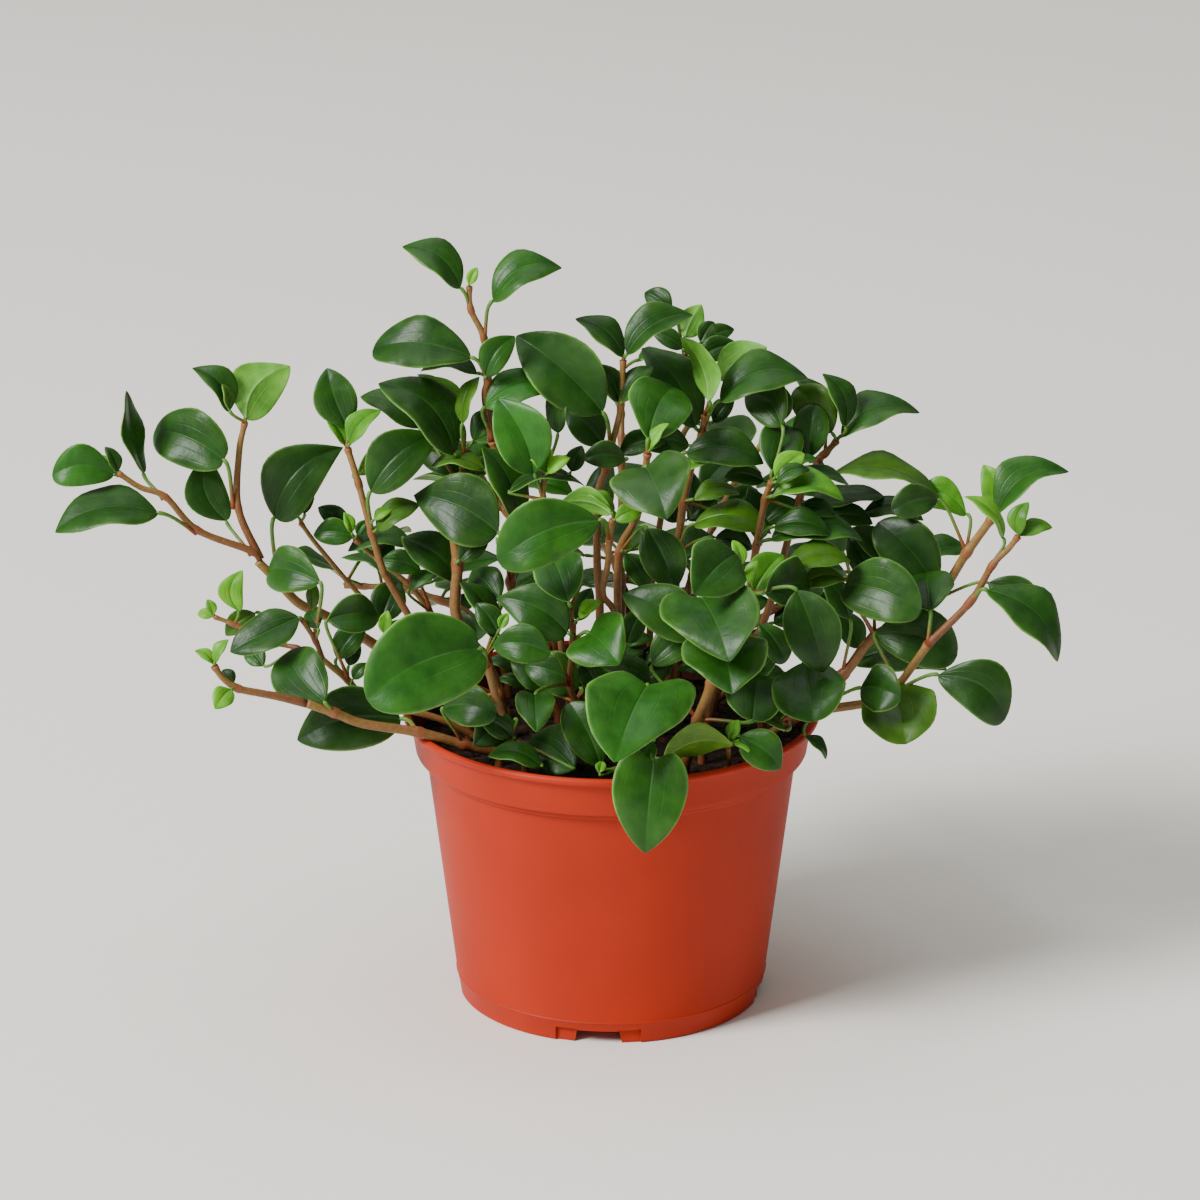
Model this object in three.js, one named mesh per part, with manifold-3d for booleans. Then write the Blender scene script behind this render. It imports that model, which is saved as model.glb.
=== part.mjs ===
// A potted peperomia: a moulded plastic nursery pot, its soil, and the leafy shoots that stand in it.
// Millimetres, +Z up. The origin is on the pot's axis at the surface that the pot stands on.
// The front is towards -Y.
import * as THREE from "three";
import { mergeVertices } from "three/addons/utils/BufferGeometryUtils.js";
import Module from "manifold-3d";

const wasm = await Module();
wasm.setup();

// ---------- pot and soil ----------
const POT_HEIGHT = 113.6;
const LIP_RADIUS = 79.2;
const COLLAR_TOP_RADIUS = 76.2;
const COLLAR_TOP_Z = 109;
const COLLAR_FOOT_RADIUS = 74.6;
const COLLAR_FOOT_Z = 98;
const RING_RADIUS = 71.9;
const RING_FOOT_Z = 95.3;
const WALL_TOP_RADIUS = 70.4;
const WALL_TOP_Z = 95;
const POT_FOOT_RADIUS = 58.7;
const WALL = 1.8;
const PARTING_LINE_Z = 8.5;
const PARTING_LINE_HEIGHT = 0.8;
const PARTING_LINE_DEPTH = 0.3;
const FLOOR_LIFT = 5;
const FOOT_RING_RADIUS = 53;
const CENTRE_DISC_RADIUS = 24;
const NOTCH_WIDTH = 15.6;
const NOTCH_FOOT_WIDTH = 18.2;
const NOTCH_HEIGHT = 5.1;
const PAD_WIDTH = 8.4;
const PAD_HEIGHT = 5.6;
const PAD_DEPTH = 0.9;
const NOTCH_TURN_DEG = -5;
const POT_SIDES = 40;
const SOIL_Z = 103;
const SOIL_EDGE_DROP = 2;
const GAP = 0.35;
const STEM_FOOT_Z = 91;
const STEM_BEND_Z = 107;

// ---------- leaves and stems ----------
const BLADE_THICKNESS = 0.8;
const BLADE_RATIO = 0.68;
const SLIM_RATIO = 0.55;
const MOST_LEAN = 0.9;
const LEAST_LEAN = 0.2;
const MOST_TURN_DEG = 68;
const FOLD_DEG = 12;
const DEEP_FOLD_DEG = 30;
const ARCH = 0.07;
const DEEP_ARCH = 0.2;
const BOW = 0.11;
const PETIOLE_RADIUS = 0.95;
const PETIOLE_REACH = 0.8;
const KNEE = 3.5;
const JOINT_TAPER = 0.55;
const STRAIGHT = 0.8;
const SHARP = -0.2;
const STEM_SIDES = 4;
const CLEARANCE = 0.4;

// The plant is laid out as a viewer in front of it sees it. A point is [u, w, depth]: u to the right and
// w up, in millimetres on the upright plane through the pot's axis, and depth behind that plane along the
// line of sight.
const EYE = new THREE.Vector3(-4.3, -1619, 703.6);
const UP = new THREE.Vector3(0, 0, 1);
const FRONT = new THREE.Vector3(0, -1, 0);

// A blade that would cross another slides along the line of sight by the first of these depths that
// leaves it room
const SLIDES = [0, 3, -3, 6, -6, 9, -9, 12, -12, 15, -15, 18, -18, 22, 26, 30, -22, 35, 40, 45, -27, 50, -32];

// Each shoot: name, stems, leaves. A stem: [x, y] of its foot in the soil or null for a branch, its
// diameters at the foot and the top, and its points. A leaf: label, joint on the stem, base and tip of the
// blade, the blade's width as seen, how it is held, and how far its middle bows to the left of the way from
// base to tip. A leaf that states no bow has one that lifts it by a share of its run to the side.
const SHOOTS = [
  ["far_left", [
    [[-46, 5], 4.4, 3.4, [[-60, 116, 4], [-92, 140, 2], [-108, 150, 0], [-118, 155, -2], [-126, 164, -3],
      [-133, 171.5, -4]]],
    [null, 3, 2, [[-132, 172.5, -4], [-136, 176, -5], [-155.5, 184, -8], [-167, 197, -10],
      [-176.5, 200.8, -11], [-184.5, 206.5, -12]]],
    [null, 3.2, 2.1, [[-132, 172.5, -4], [-139.8, 192.4, -2], [-139, 214.1, 2], [-136.6, 225.7, 4]]],
  ], [
    ["A1", [-184.5, 205.5, -12], [-186, 205.6, -13], [-209, 205.5], 15, "", -4],
    ["A1a", [-184.5, 205.5, -12], [-185.5, 207, -12], [-195.7, 211], 6, "under"],
    ["A2", [-155.9, 182.7, -8], [-170, 190.5, -14], [-209, 185], 15, "", -3],
    ["A3", [-167.8, 196, -10], [-174.8, 206.4, -4], [-178.3, 238.6], 7, "", 4.5],
    ["B1", [-136.2, 225.7, 4], [-136.2, 227.5, 4], [-119.7, 247.3], 19, "under", 5],
    ["B2", [-136.2, 225.7, 4], [-142.3, 230.2, 6], [-155, 247.6], 10, "fold", -3],
    ["B3", [-141.5, 192.4, -2], [-144.9, 211.5, -8], [-171.4, 223], 25, "", -3],
    ["B4", [-135.6, 174, -5], [-144.3, 187.6, 6], [-151.5, 213], 15, "", 4.5],
    ["C1", [-126, 164, -3], [-126.3, 188.7, 8], [-100, 216.3], 22, "", 6.5],
  ]],
  ["low_left", [
    [[-42, -33], 3.9, 3.3, [[-56.5, 98, -36], [-73.3, 103, -38], [-94.7, 106.6, -42], [-105.4, 111, -45],
      [-116, 114.7, -48]]],
    [null, 3.3, 2.3, [[-116, 114.7, -48], [-126.2, 117.4, -50], [-133.7, 118.9, -52],
      [-142.2, 120.9, -54], [-147.5, 125.1, -55], [-150.6, 129.8, -56]]],
  ], [
    ["D2", [-105.4, 111, -45], [-109, 115.4, -47], [-123, 136.4], 20, "", 2],
    ["I1", [-73.3, 103, -38], [-80, 108.3, -28], [-119.6, 100], 23],
    ["E3", [-142.2, 120.9, -54], [-144.5, 120.2, -57], [-150.5, 112.9], 8],
    ["W1", [-56.5, 98, -36], [-63.9, 112.8, -44], [-44.5, 111], 15],
  ]],
  ["left_mid", [
    [[-50, -18], 2.9, 2.3, [[-62, 107, -20], [-75, 111.5, -21], [-92.4, 116.4, -22], [-99.8, 123.8, -22],
      [-109.4, 132.5, -22]]],
    [null, 2.2, 1.8, [[-109.4, 132.5, -22], [-112, 140, -22], [-117, 148.5, -24]]],
    [null, 2.2, 1.6, [[-109.4, 132.5, -22], [-119, 137, -14], [-126, 139, -12], [-142.4, 146.4, -12],
      [-150, 149.5, -12]]],
  ], [
    ["D3", [-117, 148.5, -24], [-118, 149.2, -26], [-144.8, 136.4], 14, "", 1],
    ["D3b", [-126, 139, -12], [-134.6, 151, -6], [-146, 142], 8],
    ["D4", [-142.4, 146.4, -12], [-140.4, 151.8, -12], [-139, 168], 9, "", 4],
    ["D6", [-119, 137, -14], [-132, 130, -16], [-138.5, 137], 8],
    ["D8", [-112, 140, -22], [-111, 145, -24], [-115, 152], 7],
    ["D1", [-112, 140, -22], [-110, 163.5, -24], [-130.6, 168], 17],
    ["G1", [-99.8, 123.8, -22], [-107.2, 148.4, -26], [-87.2, 149], 14, "fold"],
    ["G2", [-99.8, 123.8, -22], [-99.5, 130, -20], [-95.5, 140], 6],
    ["G5", [-99.8, 123.8, -22], [-104, 133, -20], [-93, 147], 10],
  ]],
  ["left_back", [
    [[-45, 30], 2.5, 1.8, [[-58, 125, 30], [-72, 137, 30], [-92, 155, 30], [-109.3, 176.3, 28],
      [-116.6, 186.8, 26]]],
  ], [
    ["Y2", [-116.6, 186.8, 26], [-115, 190.5, 25], [-115.9, 204], 7],
  ]],
  ["left_twig", [
    [[-40, 14], 2.6, 1.9, [[-52, 118, 14], [-60, 135, 14], [-67.6, 150, 14], [-76.6, 162.5, 13],
      [-87.2, 171.7, 12], [-96.4, 180.2, 10]]],
  ], [
    ["X5", [-96.4, 180.2, 10], [-97, 181.5, 9], [-112.2, 182], 10],
    ["X6", [-96.4, 180.2, 10], [-99, 184, 12], [-110, 193], 8],
    ["X3", [-87.2, 171.7, 12], [-86.4, 172, 6], [-71.8, 167.6], 9],
    ["H1", [-67.6, 150, 14], [-87, 148, 6], [-80, 164], 13],
    ["X4", [-67.6, 150, 14], [-76, 160.5, 4], [-65.5, 167], 6],
    ["X1", [-76.6, 162.5, 13], [-74, 178, 16], [-99, 177], 8],
    ["X2", [-67.6, 150, 14], [-78, 181, 8], [-57.6, 164], 14],
  ]],
  ["left_upright", [
    [[-54, -6], 3, 2.4, [[-64, 126, -6], [-83, 162, -4], [-86, 168, -4], [-90, 182.8, -2],
      [-94.7, 202.5, 0], [-98.5, 216, 2]]],
  ], [
    ["M1", [-98.5, 216, 2], [-98.6, 225, 4], [-105.6, 247], 15.5, "", 1],
    ["M2", [-98.5, 216, 2], [-99.5, 217.5, 1], [-106, 228], 6, "fold"],
    ["M2b", [-98.5, 216, 2], [-97.5, 217.8, 0], [-86.3, 231], 8, "fold"],
    ["N1", [-90, 182.8, -2], [-90, 199, -6], [-65.8, 221], 19, "", 4],
    ["N2", [-94.7, 202.5, 0], [-95, 206, 10], [-70, 212], 9, "under"],
    ["Z2", [-90, 182.8, -2], [-88, 184, -7], [-72, 194.6], 9],
  ]],
  ["left_thick", [
    [[-41, -8], 5, 3.4, [[-43, 118.5, -6], [-48, 132, -6], [-58.4, 149.3, -6], [-57.9, 170.4, -4],
      [-59, 184, -2], [-56, 200, 0], [-55, 213, 2]]],
  ], [
    ["L1", [-55, 213, 2], [-56, 225.4, 2], [-71.6, 243.3], 13, "under"],
    ["L1b", [-55, 213, 2], [-55.5, 226, 6], [-50, 244], 6],
    ["L1c", [-55, 213, 2], [-57, 226, 9], [-71, 245.5], 6],
    ["L2", [-55, 213, 2], [-58.9, 213.5, -2], [-85.6, 242.3], 18, "", -5],
    ["L3", [-56, 200, 0], [-72, 224, 16], [-93, 237], 11],
    ["F1", [-55, 213, 2], [-51.5, 219, 0], [-42.6, 232], 7],
    ["BB1", [-56, 200, 0], [-47.5, 207.5, -6], [-67.7, 209.8], 6],
    ["BB2", [-56, 200, 0], [-52.5, 203.5, -8], [-35.8, 213], 6],
    ["AA1", [-59, 184, -2], [-52, 206, 12], [-71, 215], 14],
    ["O2", [-57.9, 170.4, -4], [-57, 172, -12], [-46, 181], 9],
    ["P2", [-48, 132, -6], [-44, 141, -14], [-56, 164], 9],
    ["P3", [-48, 132, -6], [-43, 143, -18], [-51, 155], 9],
    ["P5", [-48, 132, -6], [-42.5, 156, -12], [-53, 168.5], 13],
  ]],
  ["front_left", [
    [[-32, -44], 3.2, 2.6, [[-38, 100, -48], [-44, 118, -54], [-47, 130, -58]]],
  ], [
    ["J1", [-47, 130, -58], [-50, 136.6, -62], [-92, 117], 33],
    ["U1", [-38, 100, -48], [-14, 88, -60], [-32, 101], 18],
    ["U4", [-38, 100, -48], [-37.5, 101, -54], [-50, 109], 9],
    ["U3", [-38, 100, -48], [-27, 89, -64], [-47, 94.5], 8],
    ["U6", [-38, 100, -48], [-37, 108, -34], [-52, 98], 13],
  ]],
  ["tall_left", [
    [[-20, 10], 4, 3, [[-26, 125, 9], [-33, 150, 8], [-38, 163.5, 6], [-34, 185, 4], [-39, 205, 2],
      [-44.5, 219, 0]]],
    [null, 3, 2, [[-44.5, 219, 0], [-47, 236, -1], [-46, 243, -1], [-47.2, 258.4, -1], [-52, 269.4, -1],
      [-52.5, 278.2, -1]]],
  ], [
    ["K1", [-52, 269.4, -1], [-55.9, 277.6, -2], [-76.5, 294.3], 12, "", -3.5],
    ["K3", [-47.2, 258.4, -1], [-43.7, 272.6, -2], [-18.7, 286.4], 13, "", 5],
    ["K4", [-46, 243, -1], [-52, 251, -5], [-89, 255], 18, "", -2.5],
    ["K5", [-46, 243, -1], [-46.5, 243.8, -5], [-35.8, 259.3], 11, "", 2.5],
    ["K6", [-46, 243, -1], [-50, 245, 5], [-71, 247], 6],
    ["EE1", [-44.5, 219, 0], [-47, 232, -7], [-21.2, 241.3], 13],
    ["O1", [-38, 163.5, 6], [-42.6, 183, -16], [-75, 198], 25, "", -3.5],
  ]],
  ["centre_dark", [
    [[-14, -12], 3, 2, [[-18, 130, -14], [-21, 160, -15], [-25.5, 195.6, -16], [-24.6, 206, -16]]],
  ], [
    ["CC1", [-25.5, 195.6, -16], [-29, 206, -18], [-42.2, 235.3], 20, "fold", -2.5],
    ["AS", [-24.6, 206, -16], [-20, 222, -6], [-19, 241], 8],
    ["AU", [-24.6, 206, -16], [-15, 207, -8], [-11, 217], 7],
    ["AV", [-25.5, 195.6, -16], [-38, 199, -6], [-10, 203], 5],
    ["AW", [-25.5, 195.6, -16], [-35, 188, -2], [-47, 217], 13],
  ]],
  ["centre_left", [
    [[-11, -24], 2.8, 2, [[-13.6, 114.8, -28], [-15.7, 122.7, -30], [-14.5, 140, -32], [-14.7, 146, -32],
      [-15.5, 153, -32]]],
  ], [
    ["Q1", [-15.5, 153, -32], [-16.2, 155.5, -34], [-23.7, 176], 18, "fold"],
    ["Q2", [-15.5, 153, -32], [-12, 166, -24], [-22, 176], 9],
    ["R1", [-14.5, 140, -32], [-16.5, 143, -38], [-43.8, 157], 19, "", -4],
    ["S1", [-15.7, 122.7, -30], [-23, 134.9, -44], [-45.3, 138.1], 14],
    ["AL1", [-14.5, 140, -32], [-8.3, 142.8, -40], [2.4, 131], 24, "heart"],
    ["T1", [-15.7, 122.7, -30], [-29, 118, -54], [-28.6, 104], 14, "heart"],
    ["AO", [-13.6, 114.8, -28], [-12, 121, -20], [-33, 130], 15],
    ["AM2", [-14.7, 146, -32], [-13, 148, -24], [-7.5, 161], 8],
    ["AO2", [-13.6, 114.8, -28], [-24, 120, -12], [-38, 133], 12],
  ]],
  ["centre_front", [
    [[2, -20], 2.9, 2.2, [[1.2, 118, -22], [1.7, 148.6, -28], [-3.2, 158.6, -30], [-1.4, 170.4, -32],
      [-0.7, 180.2, -34], [0.5, 188, -36]]],
  ], [
    ["P1", [-0.7, 180.2, -34], [-4.5, 187.7, -45], [-42.6, 171.7], 26],
    ["TTl", [0.5, 188, -36], [0, 190.6, -37], [-19.6, 194.6], 9, "under"],
    ["TTr", [0.5, 188, -36], [1.5, 188, -38], [11.6, 191.6], 7],
    ["AN3", [1.2, 118, -22], [14.8, 122, -34], [-4, 131], 10],
    ["AN4", [1.2, 118, -22], [6, 139, -12], [12, 153], 9],
    ["AN5", [1.2, 118, -22], [-5, 119, -30], [-12, 133], 9],
  ]],
  ["centre_face", [
    [[6, -6], 3.4, 2.6, [[4, 120, -8], [2.4, 148.6, -10], [3, 175, -14], [8.5, 187.4, -18],
      [12, 204, -22], [13.5, 214, -24]]],
  ], [
    ["SS1", [13.5, 214, -24], [13.8, 219.5, -24], [24, 241], 23, "", 2.5],
    ["SS2", [12, 204, -22], [12.9, 208.4, -28], [20.3, 189.3], 29, "heart"],
    ["UU1", [3, 175, -14], [13.5, 184.5, -26], [24, 160], 16],
    ["UU2", [3, 175, -14], [5, 174.5, -6], [14, 160], 9],
    ["UU3", [4, 120, -8], [8, 121, 4], [24, 134], 13],
    ["UU4", [4, 120, -8], [0, 124, 6], [-16, 136], 12],
  ]],
  ["centre_tall", [
    [[-2, 12], 3.6, 2.2, [[-4, 130, 12], [-4.5, 159, 12], [-5.4, 172, 12], [-5, 197, 10], [-2, 208, 8],
      [-0.2, 216.3, 6], [3.5, 232.4, 4], [4.3, 250, 4]]],
  ], [
    ["HH1", [-0.2, 216.3, 6], [-3.3, 229.9, 0], [-35.3, 259.6], 24, "fold", -2],
    ["HH2", [3.5, 232.4, 4], [2.6, 234, 2], [-5.7, 249], 8],
    ["HH3", [3.5, 232.4, 4], [4, 234, 2], [15, 248], 8],
    ["II1", [4.3, 250, 4], [4.2, 251.5, 4], [-12.8, 266.8], 9.5],
    ["II2", [4.3, 250, 4], [5.7, 252.3, 3], [29.5, 268.4], 12, "fold"],
    ["AT", [-2, 208, 8], [5, 212, 2], [-10.7, 212], 10],
    ["RR1", [-2, 208, 8], [3, 214, 12], [20, 219], 9],
    ["HH4", [-0.2, 216.3, 6], [-3.5, 217.5, 20], [-17, 231], 13],
    ["AT2", [-5, 197, 10], [-5, 189, 20], [-1, 211], 11],
  ]],
  ["right_back_top", [
    [[14, 38], 3, 2, [[15, 125, 39], [15, 160, 40], [22, 210, 40], [27, 222, 40], [29.5, 229, 40],
      [27, 252, 38]]],
  ], [
    ["II3", [27, 252, 38], [22, 268.7, 34], [11.9, 276.2], 9],
    ["II4", [27, 252, 38], [27, 259, 34], [33, 271], 10, "under"],
    ["II5", [27, 252, 38], [26, 254.5, 30], [15, 261], 7],
    ["JJ1", [27, 252, 38], [33, 257, 36], [38, 265], 7],
    ["JJ2", [27, 252, 38], [34, 257, 42], [45.5, 262], 7],
    ["JJ3", [27, 252, 38], [32, 250, 30], [47.5, 256], 9],
  ]],
  ["centre_right", [
    [[20, 16], 3.8, 2.6, [[22, 125, 16], [24, 160, 16], [25, 176, 16], [27, 195, 14], [31, 214, 12],
      [33.8, 222, 12], [34.8, 229, 12]]],
  ], [
    ["KK1", [33.8, 222, 12], [31, 224, 10], [12.3, 255.4], 17],
    ["KK2", [34.8, 229, 12], [36.4, 234.3, 10], [27, 259.5], 9, "under"],
    ["KK3", [34.8, 229, 12], [40, 242.7, 10], [57.4, 255], 14, "under"],
    ["LL1", [33.8, 222, 12], [40.3, 234.4, 6], [72.9, 244.6], 15, "", 5],
    ["QQ2", [31, 214, 12], [28, 214, 3], [56.7, 211], 14],
    ["QQ1", [31, 214, 12], [27, 207.5, 1], [56.6, 208], 5],
    ["QQ3", [34.8, 229, 12], [38, 226, 18], [45.5, 236], 7],
    ["YY1", [25, 176, 16], [31, 186, 6], [60, 184], 11],
    ["AR", [27, 195, 14], [31, 196, 7], [48, 199], 7],
    ["KK4", [27, 195, 14], [24.5, 187, 24], [14, 200], 9],
    ["KK5", [27, 195, 14], [28.5, 188, 24], [40, 195.5], 8],
    ["YY8", [25, 176, 16], [39, 181, 12], [53, 176.5], 9],
    ["YY6", [27, 195, 14], [44, 191, 22], [55, 200], 10],
    ["QQ4", [31, 214, 12], [29, 217, 16], [9, 218], 11],
    ["KK6", [27, 195, 14], [30, 190, 20], [28, 209], 8],
  ]],
  ["right_upper", [
    [[40, 24], 3.4, 2.4, [[48, 125, 25], [60, 155, 26], [70, 195, 24], [77.3, 211.2, 22], [79.8, 214, 21],
      [84, 219, 20]]],
  ], [
    ["NN1", [84, 219, 20], [87, 224.7, 19], [79.1, 245.2], 9, "", -2.5],
    ["NN2", [84, 219, 20], [85.6, 220.5, 17], [114.4, 231.4], 12, "", 5],
    ["MM2", [84, 219, 20], [82, 222, 15], [68.5, 239.5], 15],
    ["MM3", [79.8, 214, 21], [79, 228, 26], [69, 244], 8],
    ["OO2", [77.3, 211.2, 22], [73.7, 212.5, 13], [75, 233], 13],
    ["AC1", [77.3, 211.2, 22], [83, 206, 14], [122.8, 199], 9, "arch", -2],
    ["ZZ1", [70, 195, 24], [75, 195, 20], [102, 199], 8, "", -1],
    ["ZZ2", [70, 195, 24], [94, 190, 24], [117, 189], 8],
    ["YY3", [70, 195, 24], [80, 188, 18], [98, 187], 9],
  ]],
  ["right_mid", [
    [[36, 0], 3.4, 2.4, [[42, 125, -1], [50, 150, -2], [54.5, 178, -3], [57.6, 196, -4], [60, 203, -6]]],
  ], [
    ["OO1", [60, 203, -6], [60, 207.3, -6], [66.5, 225.5], 16],
    ["OO3", [60, 203, -6], [61.3, 204.5, -10], [72, 214], 9],
    ["OO4", [60, 203, -6], [62, 204, -2], [76.5, 213], 6],
    ["OO5", [60, 203, -6], [62, 203, -8], [74, 208], 6],
    ["PP1", [57.6, 196, -4], [60.4, 197, -9], [86.8, 197], 9, "fold"],
    ["PP2", [57.6, 196, -4], [66, 202, 4], [89.3, 202.8], 6],
    ["YY2", [54.5, 178, -3], [61, 185, -4], [82, 183], 10],
    ["YY4", [54.5, 178, -3], [60, 180, -9], [94.7, 181.8], 12],
    ["MM1", [60, 203, -6], [63.3, 224.7, 3], [49, 237.6], 16, "", -4],
    ["YY5", [54.5, 178, -3], [57, 187, 6], [69, 196], 10],
    ["PP3", [57.6, 196, -4], [70, 192, 0], [84, 190], 7],
    ["MM4", [60, 203, -6], [64, 227, 10], [62, 241], 8],
    ["YY9", [54.5, 178, -3], [56, 180, 6], [52, 201], 10],
    ["OO6", [60, 203, -6], [57, 203, 4], [42, 205], 8],
    ["WW5", [42, 125, -1], [45, 128, 8], [62, 140], 14],
    ["WW6", [42, 125, -1], [36, 126, 6], [26, 142], 11],
  ]],
  ["right_front", [
    [[34, -32], 3.4, 2.4, [[38, 120, -35], [40, 130, -36], [46, 145, -38], [50, 158, -40]]],
  ], [
    ["XX1", [50, 158, -40], [46.8, 174.3, -44], [32.1, 159.3], 22],
    ["XX2", [50, 158, -40], [54, 160, -42], [64.8, 174.6], 13],
    ["XX3", [50, 158, -40], [58, 159, -46], [76.3, 162], 19],
    ["XX5", [50, 158, -40], [66, 168, -26], [90, 173], 10],
    ["XX6", [50, 158, -40], [72, 162, -22], [88, 165], 8],
    ["AI1", [50, 158, -40], [70, 160, -48], [80.5, 127], 20],
    ["WW3", [46, 145, -38], [56, 146.5, -36], [66, 131], 10],
    ["WW4", [46, 145, -38], [62, 136, -34], [51, 123], 10],
  ]],
  ["right_low", [
    [[27, -46], 4.6, 3.6, [[30, 97, -47], [33, 108, -48], [38, 123, -50], [40, 140, -50]]],
  ], [
    ["WW1", [40, 140, -50], [34, 157, -58], [44.2, 133], 35, "heart"],
    ["WW2", [38, 123, -50], [42, 139, -62], [45.7, 119.7], 30, "heart"],
    ["VV1", [40, 140, -50], [32, 140.5, -46], [4.5, 159], 18],
    ["AN2", [33, 108, -48], [15.3, 130.3, -44], [31, 143], 13],
    ["AI3", [33, 108, -48], [53.8, 108, -54], [56, 127.3], 21],
  ]],
  ["far_right", [
    [[58, 4], 4.6, 3.2, [[70, 113, 5], [87.7, 126.2, 4], [99.6, 141.7, 2], [121.3, 155.6, 0],
      [133.6, 175, -2], [142.7, 188.6, -4]]],
  ], [
    ["AD1", [142.7, 188.6, -4], [144.5, 190, -6], [170.3, 208.2], 13, "fold", 5],
    ["AD2", [142.7, 188.6, -4], [143, 191, -5], [139, 209.5], 11, "", -3],
    ["AD4", [142.7, 188.6, -4], [144, 191, -1], [155, 207], 9],
    ["AC3", [133.6, 175, -2], [133, 190, 4], [111, 193], 12, "", -7],
    ["AC2", [133.6, 175, -2], [122, 196, 12], [105.5, 192], 12],
    ["AB2", [121.3, 155.6, 0], [122, 161, -6], [100, 187], 20],
    ["AB1", [99.6, 141.7, 2], [88.3, 162, -12], [116, 152], 22],
    ["AF1", [121.3, 155.6, 0], [142, 163, -12], [160.6, 151.3], 13],
    ["AB6", [99.6, 141.7, 2], [98, 165, 8], [89, 181], 11],
    ["AB7", [87.7, 126.2, 4], [94, 137, 14], [86, 152], 10],
    ["AB8", [99.6, 141.7, 2], [92, 131, 14], [127, 130], 15],
    ["AC4", [121.3, 155.6, 0], [104, 172, 4], [90, 185], 10],
    ["AB9", [87.7, 126.2, 4], [90, 149, -4], [80, 165], 10],
  ]],
  ["low_right", [
    [[56, -20], 3.8, 3, [[68, 107.5, -23], [77.5, 111.5, -24], [102.8, 116.1, -27], [108.7, 121.7, -28],
      [119.8, 138.4, -30]]],
    [null, 3, 2.2, [[119.8, 138.4, -30], [135.5, 155.6, -32], [143.2, 169.8, -34], [149.2, 176.6, -35],
      [152.7, 181.4, -36]]],
  ], [
    ["AE1", [152.7, 181.4, -36], [152.7, 182.2, -36], [156, 195], 7, "", 2],
    ["AE2", [152.7, 181.4, -36], [153.5, 182, -37], [165.5, 185.5], 6],
    ["AD3", [143.2, 169.8, -34], [147, 181, -30], [133, 198], 5],
    ["AF2", [135.5, 155.6, -32], [141.5, 160, -36], [170.6, 132.9], 15, "", 4],
    ["AB4", [119.8, 138.4, -30], [120.4, 152, -22], [118, 168], 19],
    ["AG1", [102.8, 116.1, -27], [124, 126, -36], [150, 108], 20, "", 6],
    ["AG2", [102.8, 116.1, -27], [107, 121, -30], [112, 99.5], 27],
    ["AG3", [77.5, 111.5, -24], [95, 121, -38], [109, 117.5], 17],
    ["AB5", [108.7, 121.7, -28], [100, 143, -14], [131, 134], 21],
    ["AI2", [77.5, 111.5, -24], [73, 131, -42], [76.6, 108.5], 26],
    ["AI4", [68, 107.5, -23], [61, 107, -40], [71.5, 115], 5],
    ["AI6", [68, 107.5, -23], [66, 104, -44], [50, 107.5], 4],
  ]],
  ["front_right", [
    [[6, -52], 3, 2.4, [[8, 90, -54], [10, 98, -57], [13, 110, -62], [14, 118, -66]]],
  ], [
    ["AJ1", [14, 118, -66], [13.7, 122, -68], [2, 92.7], 36, "heart"],
    ["AJ2", [10, 98, -57], [16, 91.3, -86], [13, 53], 26, "heart"],
    ["AJ4", [13, 110, -62], [16, 99, -78], [10.1, 90], 8],
    ["AJ3", [10, 98, -57], [20, 92, -68], [46, 99], 11, "under", 3],
    ["U2", [8, 90, -54], [-4, 89, -60], [-16, 115], 16],
  ]],
  ["sprout", [
    [[42, -50], 2, 1.6, [[45, 90, -56], [44.5, 97, -59]]],
  ], [
    ["AKc", [44.5, 97, -59], [49, 101.4, -60], [64.7, 88], 14],
  ]],
];

// Each shoot of the far side: name, [x, y] of its foot, [x, y, z] of its top, height of its first upright run
const BACK_SHOOTS = [
  ["back_left_low", [-40, 44], [-104, 60, 142], 22],
  ["back_left", [-20, 50], [-60, 84, 190], 34],
  ["back_centre", [4, 44], [4, 78, 224], 44],
  ["back_right", [26, 54], [60, 90, 192], 34],
  ["back_right_low", [46, 42], [108, 64, 146], 22],
  ["back_low", [8, 58], [-6, 122, 140], 26],
];

const BACK_LEAVES = 9;
const BACK_SLIDES = [0, 4, -4, 8, -8, 12, -12, 16];
const BACK_LEAF_LENGTH = [24, 38];
const BACK_STEM_DIAMETERS = [3.4, 2.2];
const TURN_PER_LEAF_DEG = 137.5;
const SEED = 20417;

const LEAF_GREEN = 0x2c5a1c;
const POT_TERRACOTTA = 0xc84e2b;
const SOIL_BROWN = 0x1f140c;

// ---------- small helpers ----------
function randomFrom(seed) {
  let state = seed;
  return (low, high) => {
    state = (Math.imul(state, 1664525) + 1013904223) >>> 0;
    return low + ((high - low) * state) / 4294967296;
  };
}

function sight([u, w, depth]) {
  const reach = (depth - EYE.y) / -EYE.y;
  return new THREE.Vector3(u, 0, w).sub(EYE).multiplyScalar(reach).add(EYE);
}

function solidOf(geometry) {
  for (const name of Object.keys(geometry.attributes)) {
    if (name !== "position") geometry.deleteAttribute(name);
  }
  const merged = mergeVertices(geometry, 1e-4);
  return new wasm.Manifold(new wasm.Mesh({
    numProp: 3,
    vertProperties: new Float32Array(merged.attributes.position.array),
    triVerts: new Uint32Array(merged.index.array),
  }));
}

function geometryOf(solid) {
  const mesh = solid.getMesh();
  const geometry = new THREE.BufferGeometry();
  geometry.setAttribute("position", new THREE.BufferAttribute(mesh.vertProperties, 3));
  geometry.setIndex(new THREE.BufferAttribute(mesh.triVerts, 1));
  geometry.computeVertexNormals();
  return geometry;
}

function lathe(profile) {
  const points = profile.map(([radius, z]) => new THREE.Vector2(radius, z));
  return solidOf(new THREE.LatheGeometry(points, POT_SIDES).rotateX(Math.PI / 2));
}

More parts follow.
